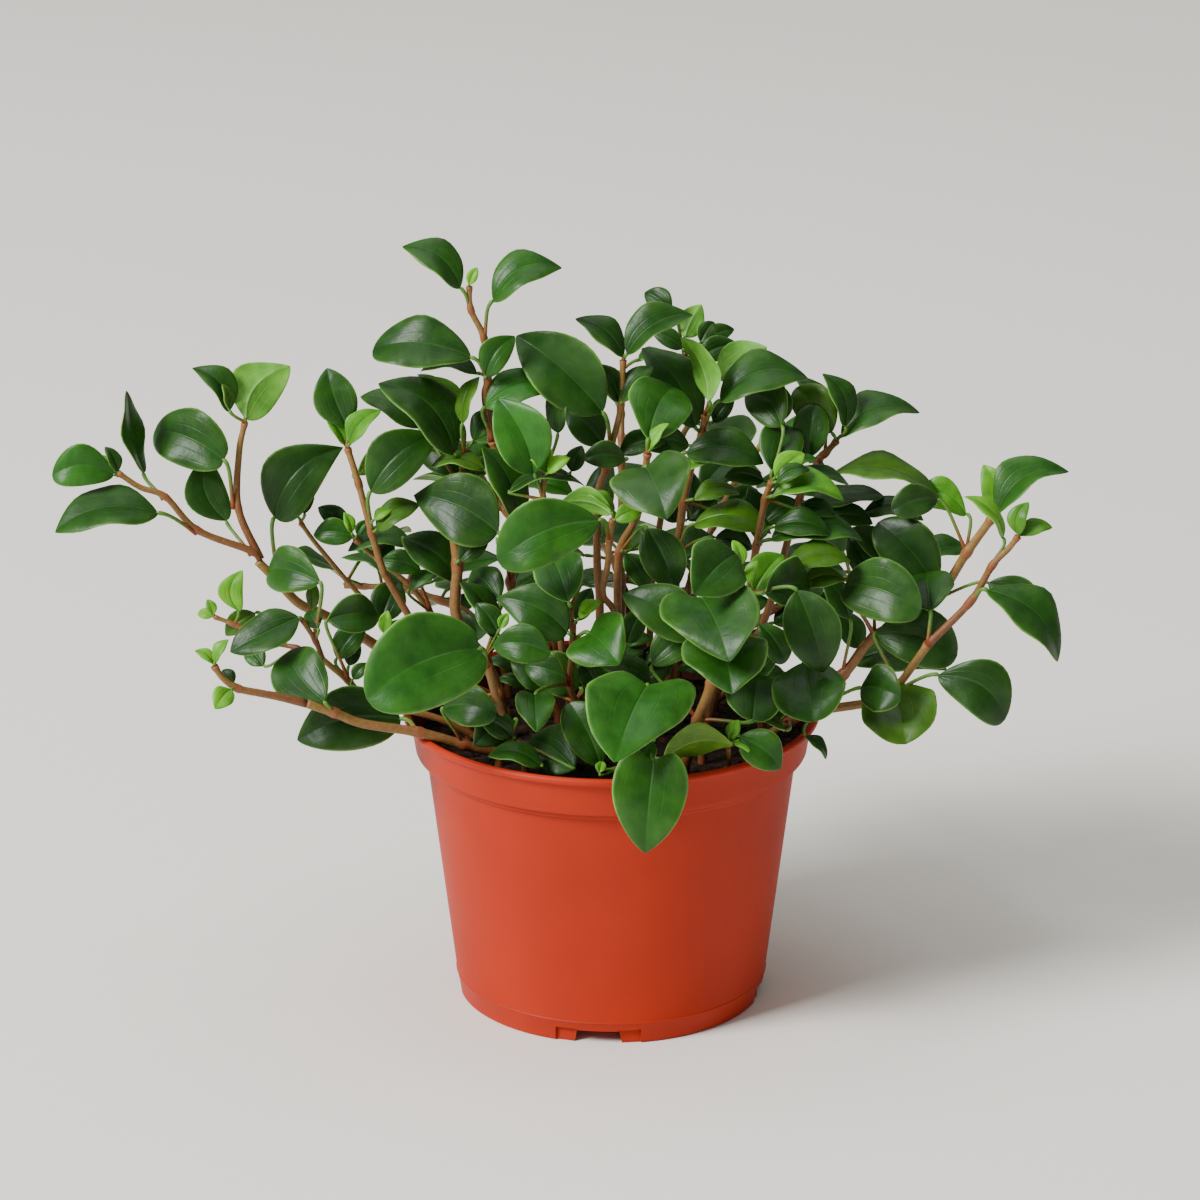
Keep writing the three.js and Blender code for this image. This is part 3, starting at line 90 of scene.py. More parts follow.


# ---------- layout of the plant ----------
# A shoot: its name, its stems and its joints.
# A stem: (x, y) of its foot in the soil or None for a branch, its diameters at the foot and the top,
# and its points.
# A joint: its place on the stem and the leaves that spring from it.
# A leaf: label, base and tip of the blade, its width as seen and its tone. How it is held follows where it
# isn't plain, and then how far its middle bows to the left of the way from base to tip, where that isn't a
# plain share of its run to the side.
# Two of the tones below are painted sheen: a lighter or a greyer upper side for leaves that catch the light.
SHOOTS = (
    ("far_left", (
        ((-46, 5), 4.4, 3.4, ((-60, 116, 4), (-92, 140, 2), (-108, 150, 0), (-118, 155, -2),
            (-126, 164, -3), (-133, 171.5, -4))),
        (None, 3, 2, ((-132, 172.5, -4), (-136, 176, -5), (-155.5, 184, -8), (-167, 197, -10),
            (-176.5, 200.8, -11), (-184.5, 206.5, -12))),
        (None, 3.2, 2.1, ((-132, 172.5, -4), (-139.8, 192.4, -2), (-139, 214.1, 2),
            (-136.6, 225.7, 4))),
    ), (
        ((-184.5, 205.5, -12), ("A1", (-186, 205.6, -13), (-209, 205.5), 15, "painted_sheen", "blunt", -4),
            ("A1a", (-185.5, 207, -12), (-195.7, 211), 6, "olive", "under"),
            ("A1b", (-184.5, 207, -12), (-188.6, 216.7), 5, "dark")),
        ((-155.9, 182.7, -8), ("A2", (-170, 190.5, -14), (-209, 185), 15, "dark", "", -3)),
        ((-167.8, 196, -10), ("A3", (-174.8, 206.4, -4), (-178.3, 238.6), 7, "dark", "", 4.5)),
        ((-136.2, 225.7, 4), ("B1", (-136.2, 227.5, 4), (-119.7, 247.3), 19, "pale", "under", 5),
            ("B2", (-142.3, 230.2, 6), (-155, 247.6), 10, "dark", "fold", -3),
            ("B2b", (-142, 231, 2), (-144, 241), 4, "olive")),
        ((-141.5, 192.4, -2), ("B3", (-144.9, 211.5, -8), (-171.4, 223), 21, "dark", "round", -3)),
        ((-135.6, 174, -5), ("B4", (-144.3, 187.6, 6), (-151.5, 213), 15, "dark", "", 4.5)),
        ((-126, 164, -3), ("C1", (-126.3, 188.7, 8), (-100, 216.3), 22, "dark", "sharp", 6.5)),
    )),
    ("low_left", (
        ((-42, -33), 3.9, 3.3, ((-56.5, 98, -36), (-73.3, 103, -38), (-94.7, 106.6, -42),
            (-105.4, 111, -45), (-116, 114.7, -48))),
        (None, 3.3, 2.3, ((-116, 114.7, -48), (-126.2, 117.4, -50), (-133.7, 118.9, -52),
            (-142.2, 120.9, -54), (-147.5, 125.1, -55), (-150.6, 129.8, -56))),
    ), (
        ((-105.4, 111, -45), ("D2", (-109, 115.4, -47), (-123, 136.4), 20, "mid", "blunt", 2)),
        ((-73.3, 103, -38), ("I1", (-80, 108.3, -28), (-119.6, 100), 23, "dark")),
        ((-150.6, 129.8, -56), ("E1", (-150.8, 131, -56), (-157.6, 136.3), 4, "young"),
            ("E2", (-150.2, 131.5, -57), (-145.3, 140.7), 4, "young")),
        ((-142.2, 120.9, -54), ("E3", (-144.5, 120.2, -57), (-150.5, 112.9), 8, "young"),
            ("E4", (-143.5, 122.8, -51), (-147.5, 128.5), 5, "dark")),
        ((-56.5, 98, -36), ("W1", (-63.9, 112.8, -44), (-44.5, 111), 15, "mid", "blunt")),
    )),
    ("left_mid", (
        ((-50, -18), 2.9, 2.3, ((-62, 107, -20), (-75, 111.5, -21), (-92.4, 116.4, -22),
            (-99.8, 123.8, -22), (-109.4, 132.5, -22))),
        (None, 2.2, 1.8, ((-109.4, 132.5, -22), (-112, 140, -22), (-117, 148.5, -24))),
        (None, 2.2, 1.6, ((-109.4, 132.5, -22), (-119, 137, -14), (-126, 139, -12),
            (-142.4, 146.4, -12), (-150, 149.5, -12))),
    ), (
        ((-117, 148.5, -24), ("D3", (-118, 149.2, -26), (-144.8, 136.4), 14, "dark", "", 1)),
        ((-126, 139, -12), ("D3b", (-134.6, 151, -6), (-146, 142), 8, "olive")),
        ((-142.4, 146.4, -12), ("D4", (-140.4, 151.8, -12), (-139, 168), 9, "young", "", 4)),
        ((-150, 149.5, -12), ("D5", (-150.2, 150.5, -12), (-152.4, 156.5), 4, "young"),
            ("D5b", (-150.8, 149.8, -12), (-156.5, 150.6), 4, "young")),
        ((-119, 137, -14), ("D6", (-132, 130, -16), (-138.5, 137), 8, "dark")),
        ((-112, 140, -22), ("D7", (-112.5, 153, -16), (-112, 163), 5, "olive"),
            ("D8", (-111, 145, -24), (-115, 152), 7, "dark"),
            ("D1", (-110, 163.5, -24), (-130.6, 168), 17, "mid", "blunt")),
        ((-99.8, 123.8, -22), ("G1", (-107.2, 148.4, -26), (-87.2, 149), 14, "dark", "fold"),
            ("G2", (-99.5, 130, -20), (-95.5, 140), 6, "dark")),
        ((-92.4, 116.4, -22), ("G3", (-98, 124.5, -27), (-92.5, 131), 5, "dark"),
            ("G4", (-86, 143, -16), (-84.5, 152), 5, "young")),
        ((-99.8, 123.8, -22), ("G5", (-104, 133, -20), (-93, 147), 10, "dark")),
    )),
    ("left_back", (
        ((-45, 30), 2.5, 1.8, ((-58, 125, 30), (-72, 137, 30), (-92, 155, 30), (-109.3, 176.3, 28),
            (-116.6, 186.8, 26))),
    ), (
        ((-116.6, 186.8, 26), ("Y2", (-115, 190.5, 25), (-115.9, 204), 7, "dark"),
            ("Y3", (-117.5, 189, 25), (-124, 195), 6, "dark")),
    )),
    ("left_twig", (
        ((-40, 14), 2.6, 1.9, ((-52, 118, 14), (-60, 135, 14), (-67.6, 150, 14), (-76.6, 162.5, 13),
            (-87.2, 171.7, 12), (-96.4, 180.2, 10))),
    ), (
        ((-96.4, 180.2, 10), ("X5", (-97, 181.5, 9), (-112.2, 182), 10, "mid"),
            ("X6", (-99, 184, 12), (-110, 193), 8, "dark"),
            ("X7", (-97.5, 183, 8), (-100, 191), 4, "young"),
            ("X8", (-95.5, 182, 8), (-91.5, 188), 4, "bright")),
        ((-87.2, 171.7, 12), ("X3", (-86.4, 172, 6), (-71.8, 167.6), 9, "bright")),
        ((-67.6, 150, 14), ("H1", (-87, 148, 6), (-80, 164), 13, "dark"),
            ("X4", (-76, 160.5, 4), (-65.5, 167), 6, "grey")),
        ((-76.6, 162.5, 13), ("X1", (-74, 178, 16), (-99, 177), 8, "grey")),
        ((-67.6, 150, 14), ("X2", (-78, 181, 8), (-57.6, 164), 14, "dark")),
    )),
    ("left_upright", (
        ((-54, -6), 3, 2.4, ((-64, 126, -6), (-83, 162, -4), (-86, 168, -4), (-90, 182.8, -2),
            (-94.7, 202.5, 0), (-98.5, 216, 2))),
    ), (
        ((-98.5, 216, 2), ("M1", (-98.6, 225, 4), (-105.6, 247), 15.5, "dark", "", 1),
            ("M2", (-99.5, 217.5, 1), (-106, 228), 6, "pale", "fold"),
            ("M2b", (-97.5, 217.8, 0), (-86.3, 231), 8, "pale", "fold")),
        ((-90, 182.8, -2), ("N1", (-90, 199, -6), (-65.8, 221), 19, "dark", "", 4)),
        ((-94.7, 202.5, 0), ("N2", (-95, 206, 10), (-70, 212), 9, "olive", "under")),
        ((-90, 182.8, -2), ("Z1", (-89, 188, -4), (-82, 192), 4, "young"),
            ("Z2", (-88, 184, -7), (-72, 194.6), 9, "olive")),
    )),
    ("left_thick", (
        ((-41, -8), 5, 3.4, ((-43, 118.5, -6), (-48, 132, -6), (-58.4, 149.3, -6),
            (-57.9, 170.4, -4), (-59, 184, -2), (-56, 200, 0), (-55, 213, 2))),
    ), (
        ((-55, 213, 2), ("L1", (-56, 225.4, 2), (-71.6, 243.3), 13, "pale", "under"),
            ("L1b", (-55.5, 226, 6), (-50, 244), 6, "olive"),
            ("L1c", (-57, 226, 9), (-71, 245.5), 6, "dark"),
            ("L2", (-58.9, 213.5, -2), (-85.6, 242.3), 18, "dark", "", -5)),
        ((-56, 200, 0), ("L3", (-72, 224, 16), (-93, 237), 11, "grey")),
        ((-55, 213, 2), ("F1", (-51.5, 219, 0), (-42.6, 232), 7, "dark")),
        ((-56, 200, 0), ("BB1", (-47.5, 207.5, -6), (-67.7, 209.8), 6, "olive"),
            ("BB2", (-52.5, 203.5, -8), (-35.8, 213), 6, "olive")),
        ((-59, 184, -2), ("AA1", (-52, 206, 12), (-71, 215), 14, "dark", "blunt")),
        ((-57.9, 170.4, -4), ("O2", (-57, 172, -12), (-46, 181), 9, "dark")),
        ((-48, 132, -6), ("P2", (-44, 141, -14), (-56, 164), 9, "dark"),
            ("P3", (-43, 143, -18), (-51, 155), 9, "dark"),
            ("P4", (-42, 145, -22), (-39, 151), 4, "young"),
            ("P5", (-42.5, 156, -12), (-53, 168.5), 13, "dark")),
        ((-43, 118.5, -6), ("PB1", (-57, 117, -4), (-67, 120.5), 5.2, "dark")),
    )),
    ("front_left", (
        ((-32, -44), 3.2, 2.6, ((-38, 100, -48), (-44, 118, -54), (-47, 130, -58))),
    ), (
        ((-47, 130, -58), ("J1", (-50, 136.6, -62), (-92, 117), 33, "painted_sheen", "round")),
        ((-38, 100, -48), ("U1", (-14, 88, -60), (-32, 101), 18, "dark"),
            ("U4", (-37.5, 101, -54), (-50, 109), 9, "dark"),
            ("U3", (-27, 89, -64), (-47, 94.5), 8, "mid"),
            ("U6", (-37, 108, -34), (-52, 98), 13, "dark")),
    )),
    ("tall_left", (
        ((-20, 10), 4, 3, ((-26, 125, 9), (-33, 150, 8), (-38, 163.5, 6), (-34, 185, 4),
            (-39, 205, 2), (-44.5, 219, 0))),
        (None, 3, 2, ((-44.5, 219, 0), (-47, 236, -1), (-46, 243, -1), (-47.2, 258.4, -1),
            (-52, 269.4, -1), (-52.5, 278.2, -1))),
    ), (
        ((-52, 269.4, -1), ("K1", (-55.9, 277.6, -2), (-76.5, 294.3), 12, "dark", "", -3.5)),
        ((-52.5, 278.2, -1), ("K2", (-52.5, 279, -2), (-49.5, 285.5), 4, "young")),
        ((-47.2, 258.4, -1), ("K3", (-43.7, 272.6, -2), (-18.7, 286.4), 13, "mid", "", 5)),
        ((-46, 243, -1), ("K4", (-52, 251, -5), (-89, 255), 18, "dark", "blunt", -2.5),
            ("K5", (-46.5, 243.8, -5), (-35.8, 259.3), 11, "bright", "", 2.5),
            ("K6", (-50, 245, 5), (-71, 247), 6, "dark")),
        ((-44.5, 219, 0), ("EE1", (-47, 232, -7), (-21.2, 241.3), 13, "painted_sheen")),
        ((-38, 163.5, 6), ("O1", (-42.6, 183, -16), (-75, 198), 25, "dark", "sharp", -3.5)),
        ((-26, 125, 9), ("OB1", (-37, 128, 4), (-47, 132.5), 5, "dark"),
            ("OB2", (-33, 121, 4), (-43, 125), 5, "dark")),
    )),
    ("centre_dark", (
        ((-14, -12), 3, 2, ((-18, 130, -14), (-21, 160, -15), (-25.5, 195.6, -16),
            (-24.6, 206, -16))),
    ), (
        ((-25.5, 195.6, -16), ("CC1", (-29, 206, -18), (-42.2, 235.3), 20, "painted_sheen", "fold", -2.5)),
        ((-24.6, 206, -16), ("DDa", (-25, 206.8, -17), (-32.6, 215), 4.5, "young"),
            ("DDb", (-24, 207.5, -16), (-23.5, 217), 4.5, "young"),
            ("DDc", (-23.7, 206.2, -18), (-15.6, 212.5), 5.2, "young"),
            ("AS", (-20, 222, -6), (-19, 241), 8, "dark"),
            ("AU", (-15, 207, -8), (-11, 217), 7, "dark")),
        ((-25.5, 195.6, -16), ("AV", (-38, 199, -6), (-10, 203), 5, "dark"),
            ("AW", (-35, 188, -2), (-47, 217), 13, "dark")),
    )),
    ("centre_left", (
        ((-11, -24), 2.8, 2, ((-13.6, 114.8, -28), (-15.7, 122.7, -30), (-14.5, 140, -32),
            (-14.7, 146, -32), (-15.5, 153, -32))),
    ), (
        ((-15.5, 153, -32), ("Q1", (-16.2, 155.5, -34), (-23.7, 176), 18, "painted_sheen", "fold"),
            ("Q2", (-12, 166, -24), (-22, 176), 9, "dark")),
        ((-14.5, 140, -32), ("R1", (-16.5, 143, -38), (-43.8, 157), 19, "dark", "sharp", -4)),
        ((-15.7, 122.7, -30), ("S1", (-23, 134.9, -44), (-45.3, 138.1), 14, "mid")),
        ((-14.5, 140, -32), ("AL1", (-8.3, 142.8, -40), (2.4, 131), 24, "bright", "heart")),
        ((-14.7, 146, -32), ("AM1", (-12, 149, -36), (-4, 156), 5, "young")),
        ((-15.7, 122.7, -30), ("T1", (-29, 118, -54), (-28.6, 104), 14, "bright", "heart")),
        ((-13.6, 114.8, -28), ("AO", (-12, 121, -20), (-33, 130), 15, "dark")),
        ((-14.7, 146, -32), ("AM2", (-13, 148, -24), (-7.5, 161), 8, "dark")),
        ((-13.6, 114.8, -28), ("AO2", (-24, 120, -12), (-38, 133), 12, "dark"),
            ("AOb", (-9, 129, -10), (-13.5, 139), 5, "mid")),
    )),
    ("centre_front", (
        ((2, -20), 2.9, 2.2, ((1.2, 118, -22), (1.7, 148.6, -28), (-3.2, 158.6, -30),
            (-1.4, 170.4, -32), (-0.7, 180.2, -34), (0.5, 188, -36))),
    ), (
        ((-0.7, 180.2, -34), ("P1", (-4.5, 187.7, -45), (-42.6, 171.7), 23, "bright", "blunt")),
        ((0.5, 188, -36), ("TTl", (0, 190.6, -37), (-19.6, 194.6), 9, "pale", "under"),
            ("TTf", (1, 191, -35), (-10, 199), 4, "pale"),
            ("TTr", (1.5, 188, -38), (11.6, 191.6), 7, "young")),
        ((1.2, 118, -22), ("AN3", (14.8, 122, -34), (-4, 131), 10, "dark"),
            ("AN4", (6, 139, -12), (12, 153), 9, "dark"),
            ("AN5", (-5, 119, -30), (-12, 133), 9, "dark")),
    )),
    ("centre_face", (
        ((6, -6), 3.4, 2.6, ((4, 120, -8), (2.4, 148.6, -10), (3, 175, -14), (8.5, 187.4, -18),
            (12, 204, -22), (13.5, 214, -24))),
    ), (
        ((13.5, 214, -24), ("SS1", (13.8, 219.5, -24), (24, 241), 23, "mid", "blunt", 2.5)),
        ((12, 204, -22), ("SS2", (12.9, 208.4, -28), (20.3, 189.3), 29, "grey", "heart")),
        ((13.5, 214, -24), ("SS3", (14.6, 215.6, -25), (20.8, 226), 4, "young")),
        ((3, 175, -14), ("SS4", (4.3, 176, -16), (8, 179), 4, "young"),
            ("UU1", (13.5, 184.5, -26), (24, 160), 16, "dark"),
            ("UU2", (5, 174.5, -6), (14, 160), 9, "dark")),
        ((4, 120, -8), ("UU3", (8, 121, 4), (24, 134), 13, "dark"),
            ("UU4", (0, 124, 6), (-16, 136), 12, "dark"),
            ("UB1", (3, 131, 2), (12, 137), 5, "dark"),
            ("UB2", (0, 130, 4), (-8.5, 136.5), 5.2, "dark"),
            ("UB3", (12, 130, 4), (19, 138), 5.2, "dark"),
            ("UB4", (6, 138, 4), (16, 141), 5, "dark")),
    )),
    ("centre_tall", (
        ((-2, 12), 3.6, 2.2, ((-4, 130, 12), (-4.5, 159, 12), (-5.4, 172, 12), (-5, 197, 10),
            (-2, 208, 8), (-0.2, 216.3, 6), (3.5, 232.4, 4), (4.3, 250, 4))),
    ), (
        ((-0.2, 216.3, 6), ("HH1", (-3.3, 229.9, 0), (-35.3, 259.6), 24, "dark", "fold", -2)),
        ((3.5, 232.4, 4), ("HH2", (2.6, 234, 2), (-5.7, 249), 8, "grey"),
            ("HH3", (4, 234, 2), (15, 248), 8, "grey")),
        ((4.3, 250, 4), ("II1", (4.2, 251.5, 4), (-12.8, 266.8), 9.5, "dark"),
            ("II2", (5.7, 252.3, 3), (29.5, 268.4), 12, "dark", "fold")),
        ((-2, 208, 8), ("AT", (5, 212, 2), (-10.7, 212), 10, "grey"),
            ("RR1", (3, 214, 12), (20, 219), 9, "dark")),
        ((-0.2, 216.3, 6), ("HH4", (-3.5, 217.5, 20), (-17, 231), 13, "dark")),
        ((-5, 197, 10), ("AT2", (-5, 189, 20), (-1, 211), 11, "dark")),
    )),
    ("right_back_top", (
        ((14, 38), 3, 2, ((15, 125, 39), (15, 160, 40), (22, 210, 40), (27, 222, 40),
            (29.5, 229, 40), (27, 252, 38))),
    ), (
        ((27, 252, 38), ("II3", (22, 268.7, 34), (11.9, 276.2), 9, "dark"),
            ("II4", (27, 259, 34), (33, 271), 10, "pale", "under"),
            ("II5", (26, 254.5, 30), (15, 261), 7, "dark"),
            ("JJ1", (33, 257, 36), (38, 265), 7, "dark"),
            ("JJ2", (34, 257, 42), (45.5, 262), 7, "dark"),
            ("JJ3", (32, 250, 30), (47.5, 256), 9, "dark")),
    )),
    ("centre_right", (
        ((20, 16), 3.8, 2.6, ((22, 125, 16), (24, 160, 16), (25, 176, 16), (27, 195, 14),
            (31, 214, 12), (33.8, 222, 12), (34.8, 229, 12))),
    ), (
        ((33.8, 222, 12), ("KK1", (31, 224, 10), (12.3, 255.4), 17, "dark")),
        ((34.8, 229, 12), ("KK2", (36.4, 234.3, 10), (27, 259.5), 9, "pale", "under"),
            ("KK3", (40, 242.7, 10), (57.4, 255), 14, "pale", "under")),
        ((33.8, 222, 12), ("LL1", (40.3, 234.4, 6), (72.9, 244.6), 15, "dark", "", 5)),
        ((31, 214, 12), ("QQ2", (28, 214, 3), (56.7, 211), 14, "dark"),
            ("QQ1", (27, 207.5, 1), (56.6, 208), 5, "pale")),
        ((34.8, 229, 12), ("QQ3", (38, 226, 18), (45.5, 236), 7, "dark")),
        ((25, 176, 16), ("YY1", (31, 186, 6), (60, 184), 11, "olive")),
        ((27, 195, 14), ("AR", (31, 196, 7), (48, 199), 7, "olive"),
            ("KK4", (24.5, 187, 24), (14, 200), 9, "dark"),
            ("KK5", (28.5, 188, 24), (40, 195.5), 8, "dark")),
        ((25, 176, 16), ("YY8", (39, 181, 12), (53, 176.5), 9, "dark")),
        ((27, 195, 14), ("YY6", (44, 191, 22), (55, 200), 10, "dark")),
        ((31, 214, 12), ("QQ4", (29, 217, 16), (9, 218), 11, "dark")),
        ((27, 195, 14), ("KK6", (30, 190, 20), (28, 209), 8, "dark")),
    )),
    ("right_upper", (
        ((40, 24), 3.4, 2.4, ((48, 125, 25), (60, 155, 26), (70, 195, 24), (77.3, 211.2, 22),
            (79.8, 214, 21), (84, 219, 20))),
    ), (
        ((84, 219, 20), ("NN1", (87, 224.7, 19), (79.1, 245.2), 9, "dark", "", -2.5),
            ("NN2", (85.6, 220.5, 17), (114.4, 231.4), 12, "dark", "", 5),
            ("MM2", (82, 222, 15), (68.5, 239.5), 15, "olive", "blunt")),
        ((79.8, 214, 21), ("MM3", (79, 228, 26), (69, 244), 8, "grey")),
        ((77.3, 211.2, 22), ("OO2", (73.7, 212.5, 13), (75, 233), 13, "mid", "blunt"),
            ("AC1", (83, 206, 14), (122.8, 199), 9, "olive", "arch", -2)),
        ((70, 195, 24), ("ZZ1", (75, 195, 20), (102, 199), 8, "grey", "", -1),
            ("ZZ2", (94, 190, 24), (117, 189), 8, "dark"),
            ("YY3", (80, 188, 18), (98, 187), 9, "dark")),
    )),
    ("right_mid", (
        ((36, 0), 3.4, 2.4, ((42, 125, -1), (50, 150, -2), (54.5, 178, -3), (57.6, 196, -4),
            (60, 203, -6))),
    ), (
        ((60, 203, -6), ("OO1", (60, 207.3, -6), (66.5, 225.5), 16, "mid", "blunt"),
            ("OO3", (61.3, 204.5, -10), (72, 214), 9, "young"),
            ("OO4", (62, 204, -2), (76.5, 213), 6, "bright"),
            ("OO5", (62, 203, -8), (74, 208), 6, "dark")),
        ((57.6, 196, -4), ("PP1", (60.4, 197, -9), (86.8, 197), 9, "pale", "fold"),
            ("PP2", (66, 202, 4), (89.3, 202.8), 6, "dark")),
        ((54.5, 178, -3), ("YY2", (61, 185, -4), (82, 183), 10, "dark"),
            ("YY4", (60, 180, -9), (94.7, 181.8), 12, "mid")),
        ((60, 203, -6), ("MM1", (63.3, 224.7, 3), (49, 237.6), 16, "grey", "", -4)),
        ((54.5, 178, -3), ("YY5", (57, 187, 6), (69, 196), 10, "dark")),
        ((57.6, 196, -4), ("PP3", (70, 192, 0), (84, 190), 7, "dark")),
        ((60, 203, -6), ("MM4", (64, 227, 10), (62, 241), 8, "dark")),
        ((54.5, 178, -3), ("YY9", (56, 180, 6), (52, 201), 10, "dark")),
        ((60, 203, -6), ("OO6", (57, 203, 4), (42, 205), 8, "dark")),
        ((42, 125, -1), ("WW5", (45, 128, 8), (62, 140), 14, "dark"),
            ("WW6", (36, 126, 6), (26, 142), 11, "dark"),
            ("WWb", (36, 127, 2), (25, 129), 5, "dark"),
            ("WWc", (56, 126, 2), (66, 127), 5.5, "dark")),
    )),
    ("right_front", (
        ((34, -32), 3.4, 2.4, ((38, 120, -35), (40, 130, -36), (46, 145, -38), (50, 158, -40))),
    ), (
        ((50, 158, -40), ("XX1", (46.8, 174.3, -44), (32.1, 159.3), 22, "dark"),
            ("XXa", (49, 170, -42), (45.8, 180), 5, "young"),
            ("XXb", (51.5, 163, -46), (54.6, 172), 4, "young"),
            ("XX2", (54, 160, -42), (64.8, 174.6), 13, "pale"),
            ("XX3", (58, 159, -46), (76.3, 162), 19, "dark", "blunt")),
        ((46, 145, -38), ("XX4", (52, 152, -48), (59, 157), 6, "dark")),
        ((50, 158, -40), ("XX5", (66, 168, -26), (90, 173), 10, "olive"),
            ("XX6", (72, 162, -22), (88, 165), 8, "olive"),
            ("AI1", (70, 160, -48), (80.5, 127), 20, "dark")),
        ((46, 145, -38), ("WW3", (56, 146.5, -36), (66, 131), 10, "dark", "blunt"),
            ("WW4", (62, 136, -34), (51, 123), 10, "dark")),
    )),
    ("right_low", (
        ((27, -46), 4.6, 3.6, ((30, 97, -47), (33, 108, -48), (38, 123, -50), (40, 140, -50))),
    ), (
        ((40, 140, -50), ("WW1", (34, 157, -58), (44.2, 133), 33, "dark", "level")),
        ((38, 123, -50), ("WW2", (42, 139, -62), (45.7, 119.7), 30, "mid", "level")),
        ((40, 140, -50), ("VV1", (32, 140.5, -46), (4.5, 159), 18, "dark")),
        ((33, 108, -48), ("AN2", (15.3, 130.3, -44), (31, 143), 13, "grey", "blunt"),
            ("AI3", (53.8, 108, -54), (56, 127.3), 21, "dark", "round")),
    )),
    ("far_right", (
        ((58, 4), 4.6, 3.2, ((70, 113, 5), (87.7, 126.2, 4), (99.6, 141.7, 2), (121.3, 155.6, 0),
            (133.6, 175, -2), (142.7, 188.6, -4))),
    ), (
        ((142.7, 188.6, -4), ("AD1", (144.5, 190, -6), (170.3, 208.2), 13, "mid", "fold", 5),
            ("AD2", (143, 191, -5), (139, 209.5), 11, "young", "", -3),
            ("AD4", (144, 191, -1), (155, 207), 9, "mid")),
        ((133.6, 175, -2), ("AC3", (133, 190, 4), (111, 193), 12, "pale", "", -7),
            ("AC2", (122, 196, 12), (105.5, 192), 12, "grey", "blunt")),
        ((121.3, 155.6, 0), ("AB2", (122, 161, -6), (100, 187), 20, "dark", "blunt")),
        ((99.6, 141.7, 2), ("AB1", (88.3, 162, -12), (116, 152), 22, "grey", "round")),
        ((121.3, 155.6, 0), ("AF1", (142, 163, -12), (160.6, 151.3), 13, "dark", "blunt")),
        ((99.6, 141.7, 2), ("AB6", (98, 165, 8), (89, 181), 11, "dark")),
        ((87.7, 126.2, 4), ("AB7", (94, 137, 14), (86, 152), 10, "dark")),
        ((99.6, 141.7, 2), ("AB8", (92, 131, 14), (127, 130), 15, "grey")),
        ((121.3, 155.6, 0), ("AC4", (104, 172, 4), (90, 185), 10, "grey")),
        ((87.7, 126.2, 4), ("AB9", (90, 149, -4), (80, 165), 10, "dark")),
    )),
    ("low_right", (
        ((56, -20), 3.8, 3, ((68, 107.5, -23), (77.5, 111.5, -24), (102.8, 116.1, -27),
            (108.7, 121.7, -28), (119.8, 138.4, -30))),
        (None, 3, 2.2, ((119.8, 138.4, -30), (135.5, 155.6, -32), (143.2, 169.8, -34),
            (149.2, 176.6, -35), (152.7, 181.4, -36))),
    ), (
        ((152.7, 181.4, -36), ("AE1", (152.7, 182.2, -36), (156, 195), 7, "pale", "", 2),
            ("AE2", (153.5, 182, -37), (165.5, 185.5), 6, "pale")),
        ((143.2, 169.8, -34), ("AD3", (147, 181, -30), (133, 198), 5, "young")),
        ((135.5, 155.6, -32), ("AF2", (141.5, 160, -36), (170.6, 132.9), 15, "dark", "", 4)),
        ((119.8, 138.4, -30), ("AB4", (120.4, 152, -22), (118, 168), 19, "dark", "blunt")),
        ((102.8, 116.1, -27), ("AG1", (124, 126, -36), (150, 108), 20, "dark", "blunt", 6),
            ("AG2", (107, 121, -30), (112, 99.5), 27, "olive", "round")),
        ((77.5, 111.5, -24), ("AG3", (95, 121, -38), (109, 117.5), 17, "dark", "blunt")),
        ((108.7, 121.7, -28), ("AB5", (100, 143, -14), (131, 134), 21, "grey", "blunt")),
        ((77.5, 111.5, -24), ("AI2", (73, 131, -42), (76.6, 108.5), 26, "dark", "blunt")),
        ((68, 107.5, -23), ("AI4", (61, 107, -40), (71.5, 115), 5, "olive"),
            ("AI6", (66, 104, -44), (50, 107.5), 4, "olive")),
        ((77.5, 111.5, -24), ("AI5", (74, 101.5, -36), (82.5, 92.5), 4, "dark")),
    )),
    ("front_right", (
        ((6, -52), 3, 2.4, ((8, 90, -54), (10, 98, -57), (13, 110, -62), (14, 118, -66))),
    ), (
        ((14, 118, -66), ("AJ1", (13.7, 122, -68), (2, 92.7), 36, "painted_sheen", "level")),
        ((10, 98, -57), ("AJ2", (16, 91.3, -86), (13, 53), 26, "mid", "heart")),
        ((13, 110, -62), ("AJ4", (16, 99, -78), (10.1, 90), 8, "mid")),
        ((10, 98, -57), ("AJ3", (20, 92, -68), (46, 99), 11, "olive", "under", 3)),
        ((8, 90, -54), ("U2", (-4, 89, -60), (-16, 115), 16, "dark", "blunt"),
            ("AP", (-4.4, 86.5, -68), (-3.4, 91.4), 4, "young")),
    )),
    ("sprout", (
        ((42, -50), 2, 1.6, ((45, 90, -56), (44.5, 97, -59))),
    ), (
        ((44.5, 97, -59), ("AKa", (45, 100.3, -60), (48.5, 108), 5, "young"),
            ("AKb", (46.5, 99, -61), (55, 94.3), 4, "young"),
            ("AKc", (49, 101.4, -60), (64.7, 88), 14, "bright")),
    )),
)

# Shoots of the far side: name, (x, y) of the foot, (x, y, z) of the top, height of the upright foot
BACK_SHOOTS = (
    ("back_left_low", (-40, 44), (-104, 60, 142), 22),
    ("back_left", (-20, 50), (-60, 84, 190), 34),
    ("back_centre", (4, 44), (4, 78, 224), 44),
    ("back_right", (26, 54), (60, 90, 192), 34),
    ("back_right_low", (46, 42), (108, 64, 146), 22),
    ("back_low", (8, 58), (-6, 122, 140), 26),
)

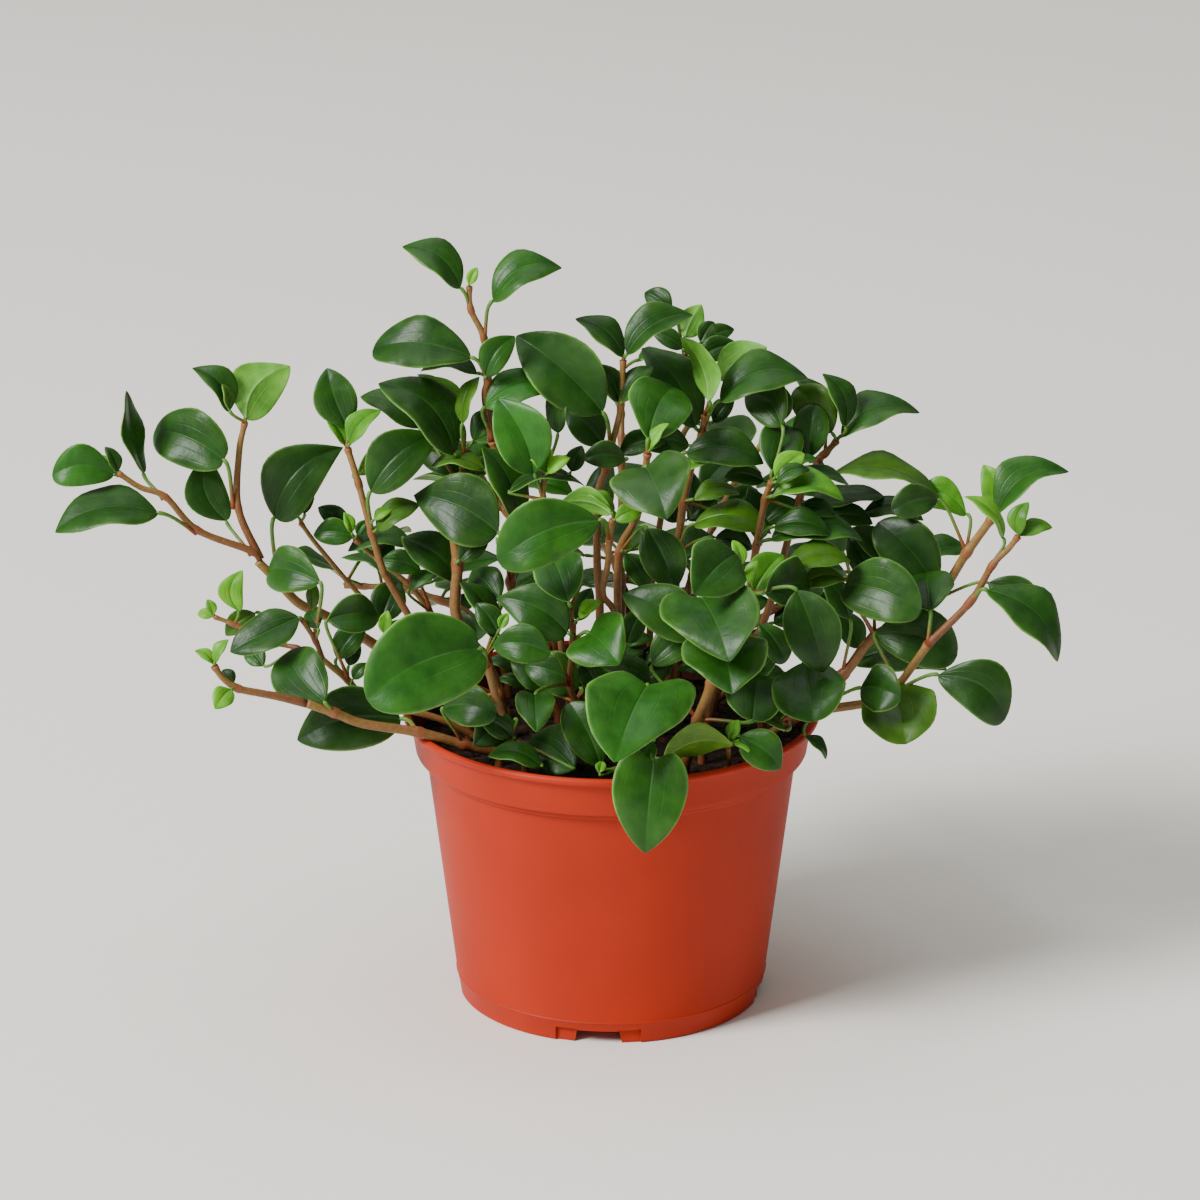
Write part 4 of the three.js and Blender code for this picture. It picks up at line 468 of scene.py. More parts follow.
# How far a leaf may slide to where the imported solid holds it: along the line of sight for the shoots
# that are stated as seen, and upwards for those of the far side
SLIDES = (
    0, 3, -3, 6, -6, 9, -9, 12, -12, 15, -15, 18, -18, 22, 26, 30, -22, 35, 40, 45, -27, 50, -32,
)
BACK_SLIDES = (0, 4, -4, 8, -8, 12, -12, 16)
WORST_MISS = 3.0

# A stem: heights of its points in the soil and just above it, the step of its line, its fewest steps, its
# sides and how uneven its thickness is. Its rings at the leaves: how far they reach, how much they swell
# and how red they are.
ROOT_Z = (91.0, 100.0)
FOOT_Z = 107.0
STEM_STEP = 1.6
FEWEST_STEPS = 6
STEM_SIDES = 12
UNEVENNESS = 0.04
UNEVEN_SCALE = 0.25
RING_REACH = (0.6, 2.6)
RING_SWELLING = 0.28
RING_REDNESS = 0.5


# ---------- small helpers ----------
def linear(hex_colour: str) -> tuple[float, float, float, float]:
    """Turn an sRGB hex colour to a linear RGBA colour.

    Args:
        hex_colour: six hex digits after a hash sign.

    Returns:
        The colour as linear red, green, blue and an alpha of 1.
    """
    channels = [int(hex_colour[i : i + 2], 16) / 255 for i in (1, 3, 5)]
    parts = [c / 12.92 if c <= 0.04045 else ((c + 0.055) / 1.055) ** 2.4 for c in channels]
    return (parts[0], parts[1], parts[2], 1.0)


def grey(level: float) -> tuple[float, float, float, float]:
    """Give the grey of a linear level."""
    return (level, level, level, 1.0)


def blend(a: Colour, b: Colour, share: float) -> tuple[float, float, float, float]:
    """Mix two linear colours, share 0 giving the first."""
    mixed = [x + (y - x) * share for x, y in zip(a, b)]
    return (mixed[0], mixed[1], mixed[2], 1.0)


def smooth(low: float, high: float, value: float) -> float:
    """Rise smoothly from 0 at low to 1 at high."""
    share = min(max((value - low) / (high - low), 0.0), 1.0)
    return share * share * (3 - 2 * share)


def draws(seed: int) -> Draw:
    """Make a seeded source of even random numbers.

    Args:
        seed: the starting state.

    Returns:
        A function that draws a number between its two arguments.
    """
    state = seed

    def draw(low: float, high: float) -> float:
        """Draw the next number.

        Args:
            low: the least that it can be.
            high: what it stays under.

        Returns:
            The number.
        """
        nonlocal state
        state = (state * 1664525 + 1013904223) % 2**32
        return low + (high - low) * state / 2**32

    return draw


def sight(point: Sequence[float]) -> Vector:
    """Find the real place of a point that is stated as seen.

    Args:
        point: u, w and depth.

    Returns:
        The place in millimetres.
    """
    u, w, depth = point
    reach = (depth - EYE.y) / -EYE.y
    return EYE + (Vector((u, 0.0, w)) - EYE) * reach


def bent_line(points: Sequence[Vector], steps: int) -> list[Vector]:
    """Draw a smooth line through points, with tangents half the way from neighbour to neighbour.

    Args:
        points: the points that the line passes through.
        steps: how many equal shares of the whole line to give.

    Returns:
        steps + 1 points along the line.
    """
    ends = [points[0] * 2 - points[1], *points, points[-1] * 2 - points[-2]]
    line = []
    for step in range(steps + 1):
        share = (len(points) - 1) * step / steps
        run = min(int(share), len(points) - 2)
        t = share - run
        before, start, end, after = ends[run : run + 4]
        leave, arrive = (end - before) * 0.5, (after - start) * 0.5
        line.append(
            start * (2 * t**3 - 3 * t**2 + 1)
            + end * (3 * t**2 - 2 * t**3)
            + leave * (t**3 - 2 * t**2 + t)
            + arrive * (t**3 - t**2)
        )
    return line


# ---------- finishes ----------
class Recipe:
    """A material that is put together from nodes."""

    def __init__(self, name: str) -> None:
        """Start a material with an empty node tree.

        Args:
            name: the material's name.
        """
        self.material = bpy.data.materials.new(name)
        self.material.use_nodes = True
        self.tree = self.material.node_tree
        self.tree.nodes.clear()

    def add(
        self,
        kind: str,
        settings: dict[str, object] | None = None,
        inputs: dict[str | int, object] | None = None,
        stops: Sequence[tuple[float, Colour]] = (),
    ) -> bpy.types.bpy_prop_collection:
        """Add a node with its settings, its input values and its links.

        Args:
            kind: the node type's name after ShaderNode.
            settings: attributes of the node itself.
            inputs: a value, or another node's output, for each input that is set.
            stops: a colour ramp's stops, each with its position and its linear colour.

        Returns:
            The new node's outputs.
        """
        node = self.tree.nodes.new(f"ShaderNode{kind}")
        for name, value in (settings or {}).items():
            setattr(node, name, value)
        for name, value in (inputs or {}).items():
            if isinstance(value, bpy.types.NodeSocket):
                self.tree.links.new(value, node.inputs[name])
            else:
                node.inputs[name].default_value = value
        while stops and len(node.color_ramp.elements) < len(stops):
            node.color_ramp.elements.new(0.5)
        for i, (position, colour) in enumerate(stops):
            node.color_ramp.elements[i].position = position
            node.color_ramp.elements[i].color = colour
        return node.outputs


@dataclass(frozen=True)
class LeafSkin:
    """Living peperomia leaf: a smooth waxy cuticle over fleshy tissue.

    The wax gives a soft highlight that breaks up where the tissue swells between the veins, which run from
    the base to the tip. A thin pale line follows the margin.
    """

    name: str
    roughness: float
    coat: float
    vein_colour: str
    vein_share: float
    groove: float
    mottle_mm: float = 7.0
    swell_mm: float = 4.5
    swell_depth_mm: float = 0.7
    vein_mm: float = 0.45

    SIDE_VEINS = ((0.0, 1.0), (0.36, 0.32), (0.7, 0.22))
    VEINS_END = (0.35, 0.95)
    WIDEST_MM = 20.0
    MOTTLE = ((0.3, (0.62, 0.7, 0.6, 1.0)), (0.7, (1.35, 1.22, 1.15, 1.0)))

    def veins(
        self, recipe: Recipe, across: bpy.types.NodeSocket, half: bpy.types.NodeSocket
    ) -> bpy.types.NodeSocket:
        """Draw the midrib and the side veins that follow the margin.

        Args:
            recipe: the material.
            across: how far out a point is, from 0 at the midrib to 1 at the margin.
            half: half the blade's width there, as a share of WIDEST_MM.

        Returns:
            How much of a vein shows.
        """
        strongest = None
        for position, strength in self.SIDE_VEINS:
            reach = self.vein_mm * (0.5 + strength) / self.WIDEST_MM
            off = recipe.add("Math", {"operation": "SUBTRACT"}, {0: across, 1: position})[0]
            off = recipe.add("Math", {"operation": "ABSOLUTE"}, {0: off})[0]
            off = recipe.add("Math", {"operation": "MULTIPLY"}, {0: off, 1: half})[0]
            vein = recipe.add(
                "MapRange", {"interpolation_type": "SMOOTHSTEP"},
                {"Value": off, "From Min": 0.0, "From Max": reach, "To Min": strength, "To Max": 0.0},
            )[0]
            if strongest is not None:
                vein = recipe.add("Math", {"operation": "MAXIMUM"}, {0: strongest, 1: vein})[0]
            strongest = vein
        return strongest

    def build(self) -> bpy.types.Material:
        """Build the leaf skin, coloured by the blade's own tone attribute.

        Returns:
            The material.
        """
        recipe = Recipe(self.name)
        place = recipe.add("TexCoord")["Object"]
        tone = recipe.add("VertexColor", {"layer_name": "tone"})["Color"]
        spot = recipe.add("VertexColor", {"layer_name": "spot"})["Color"]
        spot = recipe.add("SeparateColor", inputs={"Color": spot})
        start, end = self.VEINS_END
        fade = recipe.add(
            "MapRange", {"interpolation_type": "SMOOTHSTEP"},
            {"Value": spot["Green"], "From Min": start, "From Max": end, "To Min": 1.0, "To Max": 0.0},
        )[0]
        veins = self.veins(recipe, spot["Red"], spot["Blue"])
        veins = recipe.add("Math", {"operation": "MULTIPLY"}, {0: veins, 1: fade})[0]
        mottle = recipe.add(
            "TexNoise", inputs={"Vector": place, "Scale": 1 / (self.mottle_mm * MM), "Detail": 5.0}
        )
        shade = recipe.add("ValToRGB", inputs={"Fac": mottle["Fac"]}, stops=self.MOTTLE)
        mottled = recipe.add(
            "Mix", {"data_type": "RGBA", "blend_type": "MULTIPLY"}, {0: 1.0, 6: tone, 7: shade["Color"]}
        )[2]
        share = recipe.add("Math", {"operation": "MULTIPLY"}, {0: veins, 1: self.vein_share})[0]
        veined = recipe.add(
            "Mix", {"data_type": "RGBA", "blend_type": "MIX"},
            {0: share, 6: mottled, 7: linear(self.vein_colour)},
        )[2]
        swell = recipe.add(
            "TexNoise", inputs={"Vector": place, "Scale": 1 / (self.swell_mm * MM), "Detail": 4.0}
        )
        height = recipe.add(
            "Math", {"operation": "MULTIPLY_ADD"}, {0: veins, 1: -self.groove, 2: swell["Fac"]}
        )[0]
        bump = recipe.add(
            "Bump", inputs={"Strength": 0.4, "Distance": self.swell_depth_mm * MM, "Height": height}
        )
        skin = recipe.add("BsdfPrincipled", inputs={
            "Base Color": veined, "Roughness": self.roughness, "IOR": 1.38, "Specular IOR Level": 0.38,
            "Coat Weight": self.coat, "Coat Roughness": 0.22, "Normal": bump[0],
        })
        recipe.add("OutputMaterial", inputs={"Surface": skin[0]})
        return recipe.material


@dataclass(frozen=True)
class StemBark:
    """Semi-woody peperomia stem: a smooth green to brown rind with fine streaks and pale pores.

    The rind reads as satin, darker between the streaks.
    """

    name: str = "stem_rind"
    pore_colour: str = "#B08A5C"
    streak_mm: float = 1.6
    streak_depth_mm: float = 0.2
    pore_mm: float = 2.2

    STREAKS = ((0.3, (0.8, 0.78, 0.76, 1.0)), (0.7, (1.16, 1.14, 1.12, 1.0)))
    PORES = ((0.08, grey(0.6)), (0.16, grey(0.0)))

    def build(self) -> bpy.types.Material:
        """Build the rind, coloured by the stem's own tone attribute.

        Returns:
            The material.
        """
        recipe = Recipe(self.name)
        place = recipe.add("TexCoord")["Object"]
        tone = recipe.add("VertexColor", {"layer_name": "tone"})["Color"]
        streaks = recipe.add(
            "TexNoise", inputs={"Vector": place, "Scale": 1 / (self.streak_mm * MM), "Detail": 5.0}
        )["Fac"]
        shade = recipe.add("ValToRGB", inputs={"Fac": streaks}, stops=self.STREAKS)
        streaked = recipe.add(
            "Mix", {"data_type": "RGBA", "blend_type": "MULTIPLY"}, {0: 1.0, 6: tone, 7: shade["Color"]}
        )[2]
        pores = recipe.add("TexVoronoi", inputs={"Vector": place, "Scale": 1 / (self.pore_mm * MM)})
        dots = recipe.add("ValToRGB", inputs={"Fac": pores["Distance"]}, stops=self.PORES)
        dotted = recipe.add(
            "Mix", {"data_type": "RGBA", "blend_type": "MIX"},
            {0: dots["Color"], 6: streaked, 7: linear(self.pore_colour)},
        )[2]
        bump = recipe.add(
            "Bump", inputs={"Strength": 0.4, "Distance": self.streak_depth_mm * MM, "Height": streaks}
        )
        rind = recipe.add("BsdfPrincipled", inputs={
            "Base Color": dotted, "Roughness": 0.5, "IOR": 1.45, "Normal": bump[0],
        })
        recipe.add("OutputMaterial", inputs={"Surface": rind[0]})
        return recipe.material


@dataclass(frozen=True)
class MouldedPolypropylene:
    """Injection-moulded polypropylene in terracotta, with the fine spark grain of its mould.

    The grain breaks up the highlight to a satin sheen, and the colour drifts a little with the flow. Grain
    of this kind is mostly under 0.3 mm, and it is drawn coarser so that it shows.
    """

    name: str = "moulded_polypropylene"
    colour: str = "#AC2806"
    shade: str = "#A02405"
    flow_mm: float = 60.0
    grain_mm: float = 0.7
    grain_depth_mm: float = 0.12

    SATIN = ((0.2, grey(0.46)), (0.8, grey(0.6)))

    def build(self) -> bpy.types.Material:
        """Build the plastic.

        Returns:
            The material.
        """
        recipe = Recipe(self.name)
        place = recipe.add("TexCoord")["Object"]
        flow = recipe.add(
            "TexNoise", inputs={"Vector": place, "Scale": 1 / (self.flow_mm * MM), "Detail": 3.0}
        )
        drift = ((0.35, linear(self.shade)), (0.65, linear(self.colour)))
        colour = recipe.add("ValToRGB", inputs={"Fac": flow["Fac"]}, stops=drift)
        grain = recipe.add(
            "TexNoise", inputs={"Vector": place, "Scale": 1 / (self.grain_mm * MM), "Detail": 3.0}
        )["Fac"]
        rough = recipe.add("ValToRGB", inputs={"Fac": grain}, stops=self.SATIN)
        bump = recipe.add(
            "Bump", inputs={"Strength": 0.25, "Distance": self.grain_depth_mm * MM, "Height": grain}
        )
        plastic = recipe.add("BsdfPrincipled", inputs={
            "Base Color": colour["Color"], "Roughness": rough["Color"], "IOR": 1.4,
            "Specular IOR Level": 0.3, "Normal": bump[0],
        })
        recipe.add("OutputMaterial", inputs={"Surface": plastic[0]})
        return recipe.material


@dataclass(frozen=True)
class PottingSoil:
    """Moist peat and bark crumbs: matt and nearly black, with reddish fibres where light catches it."""

    name: str = "peat_and_bark"
    crumb_mm: float = 3.0
    crumb_depth_mm: float = 1.2

    COLOURS = ((0.35, linear("#0E0704")), (0.55, linear("#21120A")), (0.78, linear("#4A2A16")))

    def build(self) -> bpy.types.Material:
        """Build the soil.

        Returns:
            The material.
        """
        recipe = Recipe(self.name)
        place = recipe.add("TexCoord")["Object"]
        crumbs = recipe.add(
            "TexNoise", inputs={"Vector": place, "Scale": 1 / (self.crumb_mm * MM), "Detail": 8.0}
        )["Fac"]
        colour = recipe.add("ValToRGB", inputs={"Fac": crumbs}, stops=self.COLOURS)
        bump = recipe.add(
            "Bump", inputs={"Strength": 1.0, "Distance": self.crumb_depth_mm * MM, "Height": crumbs}
        )
        peat = recipe.add("BsdfPrincipled", inputs={
            "Base Color": colour["Color"], "Roughness": 0.95, "Specular IOR Level": 0.2, "Normal": bump[0],
        })
        recipe.add("OutputMaterial", inputs={"Surface": peat[0]})
        return recipe.material


@dataclass(frozen=True)
class StudioPaper:
    """Matt coated paper: an even pale sweep that takes soft shadows."""

    name: str = "studio_paper"
    colour: str = "#EFECE4"

    def build(self) -> bpy.types.Material:
        """Build the paper.

        Returns:
            The material.
        """
        recipe = Recipe(self.name)
        paper = recipe.add("BsdfPrincipled", inputs={"Base Color": linear(self.colour), "Roughness": 0.8})
        recipe.add("OutputMaterial", inputs={"Surface": paper[0]})
        return recipe.material


# The colours of a leaf's upper side and underside. Two upper sides are painted sheen over the leaf's own
# green: one lighter, for leaves that catch the key light, and one greyer, for leaves that face up and mirror
# the sky.
LEAF_COLOURS: dict[Tone, tuple[str, str]] = {
    Tone.DARK: ("#183F0B", "#4C7A2A"),
    Tone.MID: ("#1C490D", "#54862E"),
    Tone.BRIGHT: ("#1B4C0A", "#629A38"),
    # Upper side lighter as painted sheen; the underside is the leaf's own colour.
    Tone.GLOSS: ("#245B17", "#4C7A2A"),
    # Upper side greyer as painted sheen; the underside is the leaf's own colour.
    Tone.GREY: ("#234717", "#557A3A"),
    Tone.OLIVE: ("#365C10", "#5E8A28"),
    Tone.YOUNG: ("#5E9E24", "#80BA4A"),
    Tone.PALE: ("#46821B", "#62A038"),
}
MARGIN = "#7FB552"
PETIOLE_GREEN = "#4F7C26"
PETIOLE_RED = "#86341E"
STEM_BROWN = "#6A3B1C"
STEM_GREEN = "#866832"
SOIL_BROWN = "#2A190F"


# ---------- building meshes ----------
# Faces of a block whose corners are numbered round its foot and then round its top, and how far the
# blocks that cut the pot's foot reach below it
BELOW_FOOT = -1.0
BLOCK_FACES = ((3, 2, 1, 0), (4, 5, 6, 7), (0, 1, 5, 4), (1, 2, 6, 5), (2, 3, 7, 6), (3, 0, 4, 7))


class Mesh:
    """Collects the points, faces and colours of one piece."""

    def __init__(self, name: str, materials: Sequence[bpy.types.Material]) -> None:
        """Start an empty piece.

        Args:
            name: the piece's name.
            materials: its materials, which its faces refer to by number.
        """
        self.name = name
        self.materials = materials
        self.points: list[Vector] = []
        self.tones: list[Colour] = []
        self.spots: list[Sequence[float]] = []
        self.faces: list[tuple[int, ...]] = []
        self.kinds: list[int] = []

    def point(self, place: Vector, tone: Colour, spot: Sequence[float] = (1.0, 1.0, 1.0)) -> int:
        """Add a point.

        Args:
            place: where it is, in millimetres.
            tone: its linear colour.
            spot: where it is on a blade, for the veins.

        Returns:
            Its number.
        """
        self.points.append(place * MM)
        self.tones.append(tone)
        self.spots.append(spot)
        return len(self.points) - 1

    def face(self, corners: Iterable[int], kind: int = 0) -> None:
        """Add a face of the numbered material."""
        self.faces.append(tuple(corners))
        self.kinds.append(kind)

    def finish(self, node: str) -> None:
        """Make the piece, smooth shaded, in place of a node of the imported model.

        Args:
            node: the node that the piece replaces.
        """
        mesh = bpy.data.meshes.new(self.name)
        mesh.from_pydata(self.points, [], self.faces)
        for material in self.materials:
            mesh.materials.append(material)
        mesh.polygons.foreach_set("material_index", self.kinds)
        mesh.polygons.foreach_set("use_smooth", [True] * len(self.faces))
        for layer, values in (("tone", self.tones), ("spot", [(*spot, 1.0) for spot in self.spots])):
            colours = mesh.color_attributes.new(layer, "FLOAT_COLOR", "POINT")
            colours.data.foreach_set("color", [channel for value in values for channel in value])
        mesh.update()
        piece = in_scene(self.name, mesh)
        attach(piece, "root")
        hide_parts(node)


def in_scene(name: str, data: bpy.types.ID) -> bpy.types.Object:
    """Put an object in the scene.

    Args:
        name: the object's name.
        data: its mesh, lamp or camera.

    Returns:
        The object.
    """
    made = bpy.data.objects.new(name, data)
    bpy.context.scene.collection.objects.link(made)
    return made


def as_object(mesh: bmesh.types.BMesh, name: str) -> bpy.types.Object:
    """Make an object of a mesh that is finished.

    Args:
        mesh: the mesh, which is freed.
        name: the object's name.

    Returns:
        The object.
    """
    data = bpy.data.meshes.new(name)
    mesh.to_mesh(data)
    mesh.free()
    return in_scene(name, data)


@dataclass
class Tube:
    """A round rod along a line, with a radius and a colour at each of its points."""

    line: list[Vector]
    radii: list[float]
    tones: list[Colour]
    sides: int

    SHORTEST_SIDE = 0.05

    def build(self, mesh: Mesh, kind: int) -> None:
        """Add the rod to a piece.

        Args:
            mesh: the piece that gets the rod.
            kind: the number of its material in that piece.
        """
        side = Vector((0.0, -1.0, 0.0))
        rings: list[list[int]] = []
        last = len(self.line) - 1
        for i, middle in enumerate(self.line):
            along = (self.line[min(i + 1, last)] - self.line[max(i - 1, 0)]).normalized()
            side = side - along * side.dot(along)
            if side.length < self.SHORTEST_SIDE:
                side = along.orthogonal()
            side.normalize()
            over = along.cross(side)
            rings.append([])
            for k in range(self.sides):
                angle = 2 * math.pi * k / self.sides
                spoke = side * math.cos(angle) + over * math.sin(angle)
                rings[-1].append(mesh.point(middle + spoke * self.radii[i], self.tones[i]))
        for near, far in zip(rings, rings[1:]):
            for k in range(self.sides):
                after = (k + 1) % self.sides
                mesh.face((near[k], near[after], far[after], far[k]), kind)
        mesh.face(reversed(rings[0]), kind)
        mesh.face(rings[-1], kind)


# ---------- leaves ----------
@dataclass(frozen=True)
class Contour:
    """How half a blade's width runs from base to tip.

    It rises by one power and falls by another, and lobes may reach back past the base.
    """

    swell: float
    taper: float
    lobe: float = 0.0

    @property
    def peak(self) -> float:
        """The curve's greatest value, for scaling it to 1."""
        widest = self.swell / (self.swell + self.taper)
        return widest**self.swell * (1 - widest) ** self.taper


class Outline(Enum):
    """The shapes of a blade's outline."""

    POINTED = Contour(0.68, 0.8)
    BLUNT = Contour(0.7, 0.54)
    ROUND = Contour(0.5, 0.52, 0.05)
    HEART = Contour(0.42, 0.85, 0.17)
    SHARP = Contour(0.58, 1.0)


OUTLINES = {
    Held.HEART: Outline.HEART,
    Held.LEVEL: Outline.HEART,
    Held.BLUNT: Outline.BLUNT,
    Held.ROUND: Outline.ROUND,
    Held.SHARP: Outline.SHARP,
}


@dataclass
class Blade:
    """A leaf in its real place: millimetres, with its upper side along normal."""

    label: str
    joint: Vector
    base: Vector
    tip: Vector
    normal: Vector
    width: float
    fold: float
    arch: float
    bow: Vector
    shape: Outline
    tone: Tone
    skew: float = 0.0
    bud: bool = False

    # The middle sheet: how soon a lobe starts, how soft the fold is, how far the margin and the tip drop,
    # and the margin's waves, which start elsewhere on each side and shift with the blade's width
    LOBE_START = 0.012
    KEEL_SOFTNESS = 0.012
    MARGIN_DROP = 0.1
    TIP_DROP = 0.07
    WAVE = 0.12
    WAVES = 1.5
    WAVE_STARTS = (0.1, 0.55)
    WAVE_SHIFT = 2.3

    # The skins: rows along the blade, closer at its ends, columns out to the margin, the thickness with
    # its rounded edge and thin tip, and the groove over the midrib, which stands out more from below
    ROWS = 18
    ENDS_CLOSER = 0.12
    COLUMNS = (0.0, 0.03, 0.08, 0.18, 0.33, 0.5, 0.67, 0.81, 0.9, 0.955, 1.0)
    THICKNESS = 1.0
    EDGE_POWER = 5
    THIN_TIP = (6, 0.25)
    RIB_GROOVE = 0.18
    RIB_BELOW = 2.0
    RIB_REACH = (0.2, 1.1)
    RIB_FADE = 0.7

    # The colours: how leaves differ from place to place, and how pale the margin is from where to where
    PATCH_SCALE = 0.11
    PATCH_CONTRAST = 0.5
    PALE_MARGIN = ((0.2, 0.9, 0.05), (0.94, 1.0, 0.8))

    # The petiole: where it ends on the midrib and how deep under it, the steps of its line, how far ahead of
    # its ends it aims as a share of its run and at most before the blade, how it rises, its thickness plain
    # and by the blade's width, how its foot and its end swell and how thin its tip is
    PETIOLE_SPOT = (0.02, 0.0)
    PETIOLE_DEPTH = 0.15
    PETIOLE_STEPS = 10
    PETIOLE_AIM = 0.4
    PETIOLE_MOST_AIM = 4.0
    PETIOLE_RISE = 0.05
    PETIOLE_THICKNESS = (0.5, 0.012)
    PETIOLE_FOOT = 0.4
    PETIOLE_END = 0.15
    PETIOLE_TIP = 0.5
    PETIOLE_SIDES = 8

    @property
    def axis(self) -> Vector:
        """The line from base to tip."""
        return self.tip - self.base

    def lifted(self, height: float) -> Blade:
        """Give the same leaf with its blade raised by some millimetres."""
        return replace(self, base=self.base + UP * height, tip=self.tip + UP * height)

    def half_width(self, share: float) -> float:
        """Work out half the blade's width at a place along it.

        Args:
            share: how far it is along the midrib, from 0 at the base.

        Returns:
            Half the width in millimetres.
        """
        if share <= 0.0 or share >= 1.0:
            return 0.0
        outline = self.shape.value
        return self.width / 2 * share**outline.swell * (1 - share) ** outline.taper / outline.peak

    def place(self, share: float, across: float) -> Vector:
        """Give a point of the middle sheet.

        Args:
            share: how far it is along the midrib, from 0 at the base.
            across: how far it is out to the margin, from -1 at the left to 1 at the right.

        Returns:
            The place in millimetres.
        """
        length = self.axis.length
        side = self.axis.normalized().cross(self.normal)
        half = self.half_width(share)
        back = self.shape.value.lobe * (1 - math.exp(-share / self.LOBE_START)) * (1 - share) ** 2
        run = share + self.skew * across * half / length - back * across * across
        keel = math.sqrt(across * across + self.KEEL_SOFTNESS) - math.sqrt(self.KEEL_SOFTNESS)
        rise = 4 * self.arch * length * share * (1 - share) + half * keel * math.tan(self.fold)
        rise -= self.MARGIN_DROP * half * across**4 + self.TIP_DROP * length * share**4
        turns = self.WAVES * share + self.WAVE_STARTS[across > 0]
        wave = math.sin(2 * math.pi * turns + self.WAVE_SHIFT * self.width)
        rise += self.WAVE * half * wave * across * across
        middle = self.base + self.axis * run + self.bow * (4 * share * (1 - share))
        return middle + side * (half * across) + self.normal * rise

    def build(self, mesh: Mesh, upper: int, lower: int) -> None:
        """Add the blade to a piece.

        Args:
            mesh: the piece that gets the blade.
            upper: the number of the upper skin's material.
            lower: the number of the lower skin's material.
        """
        shade = 1 + self.PATCH_CONTRAST * noise.noise(self.tip * self.PATCH_SCALE)
        top, under = map(linear, LEAF_COLOURS[self.tone])
        top = [channel * shade for channel in top]
        rim = linear(MARGIN)
        spread = [-c for c in reversed(self.COLUMNS[1:])] + list(self.COLUMNS)
        above: list[list[int]] = []
        below: list[list[int]] = []
        for row in range(self.ROWS + 1):
            share = row / self.ROWS
            share = share - self.ENDS_CLOSER * math.sin(2 * math.pi * share)
            half = self.half_width(share)
            thin = min(1.0, self.THIN_TIP[0] * (1 - share) + self.THIN_TIP[1])
            above.append([])
            below.append([])
            for across in spread:
                out = abs(across)
                middle = self.place(share, across)
                edge = math.sqrt(max(1 - out**self.EDGE_POWER, 0.0)) * thin
                rib = (1 - smooth(*self.RIB_REACH, out * half)) * (1 - self.RIB_FADE * share) * edge
                lift = self.normal * (self.THICKNESS / 2 * edge)
                groove = self.normal * (self.RIB_GROOVE * rib)
                margin = sum(pale * smooth(start, end, out) for start, end, pale in self.PALE_MARGIN)
                spot = (out, share, half / LeafSkin.WIDEST_MM)
                above[-1].append(mesh.point(middle + lift - groove, blend(top, rim, margin), spot))
                if out == 1.0 or row == self.ROWS:
                    below[-1].append(above[-1][-1])
                else:
                    place = middle - lift - groove * self.RIB_BELOW
                    below[-1].append(mesh.point(place, blend(under, rim, margin), spot))
        for row in range(self.ROWS):
            for k in range(len(spread) - 1):
                corners = ((row, k), (row, k + 1), (row + 1, k + 1), (row + 1, k))
                mesh.face((above[i][j] for i, j in corners), upper)
                mesh.face((below[i][j] for i, j in reversed(corners)), lower)

    def petiole(self, mesh: Mesh, kind: int) -> None:
        """Add the stalk that runs from the stem into the midrib.

        Args:
            mesh: the piece that gets the stalk.
            kind: the number of the rind's material.
        """
        steps = self.PETIOLE_STEPS
        along = self.axis.normalized()
        into = self.place(*self.PETIOLE_SPOT) - self.normal * self.PETIOLE_DEPTH
        reach = (self.base - self.joint).length
        leave = self.joint.lerp(self.base, self.PETIOLE_AIM) + UP * (self.PETIOLE_RISE * reach)
        arrive = self.base - along * min(self.PETIOLE_AIM * reach, self.PETIOLE_MOST_AIM)
        line = interpolate_bezier(self.joint, leave, arrive, into, steps + 1)
        plain, by_width = self.PETIOLE_THICKNESS
        thick, foot, end = plain + by_width * self.width, self.PETIOLE_FOOT, self.PETIOLE_END
        swells = [1 + foot - foot * smooth(0, 2, i) + end * smooth(7, 9, i) for i in range(steps)]
        radii = [thick * swell for swell in (*swells, self.PETIOLE_TIP)]
        red, green = linear(PETIOLE_RED), linear(PETIOLE_GREEN)
        tones = [blend(red, green, smooth(0.0, 0.6, i / steps)) for i in range(steps + 1)]
        Tube(line, radii, tones, self.PETIOLE_SIDES).build(mesh, kind)


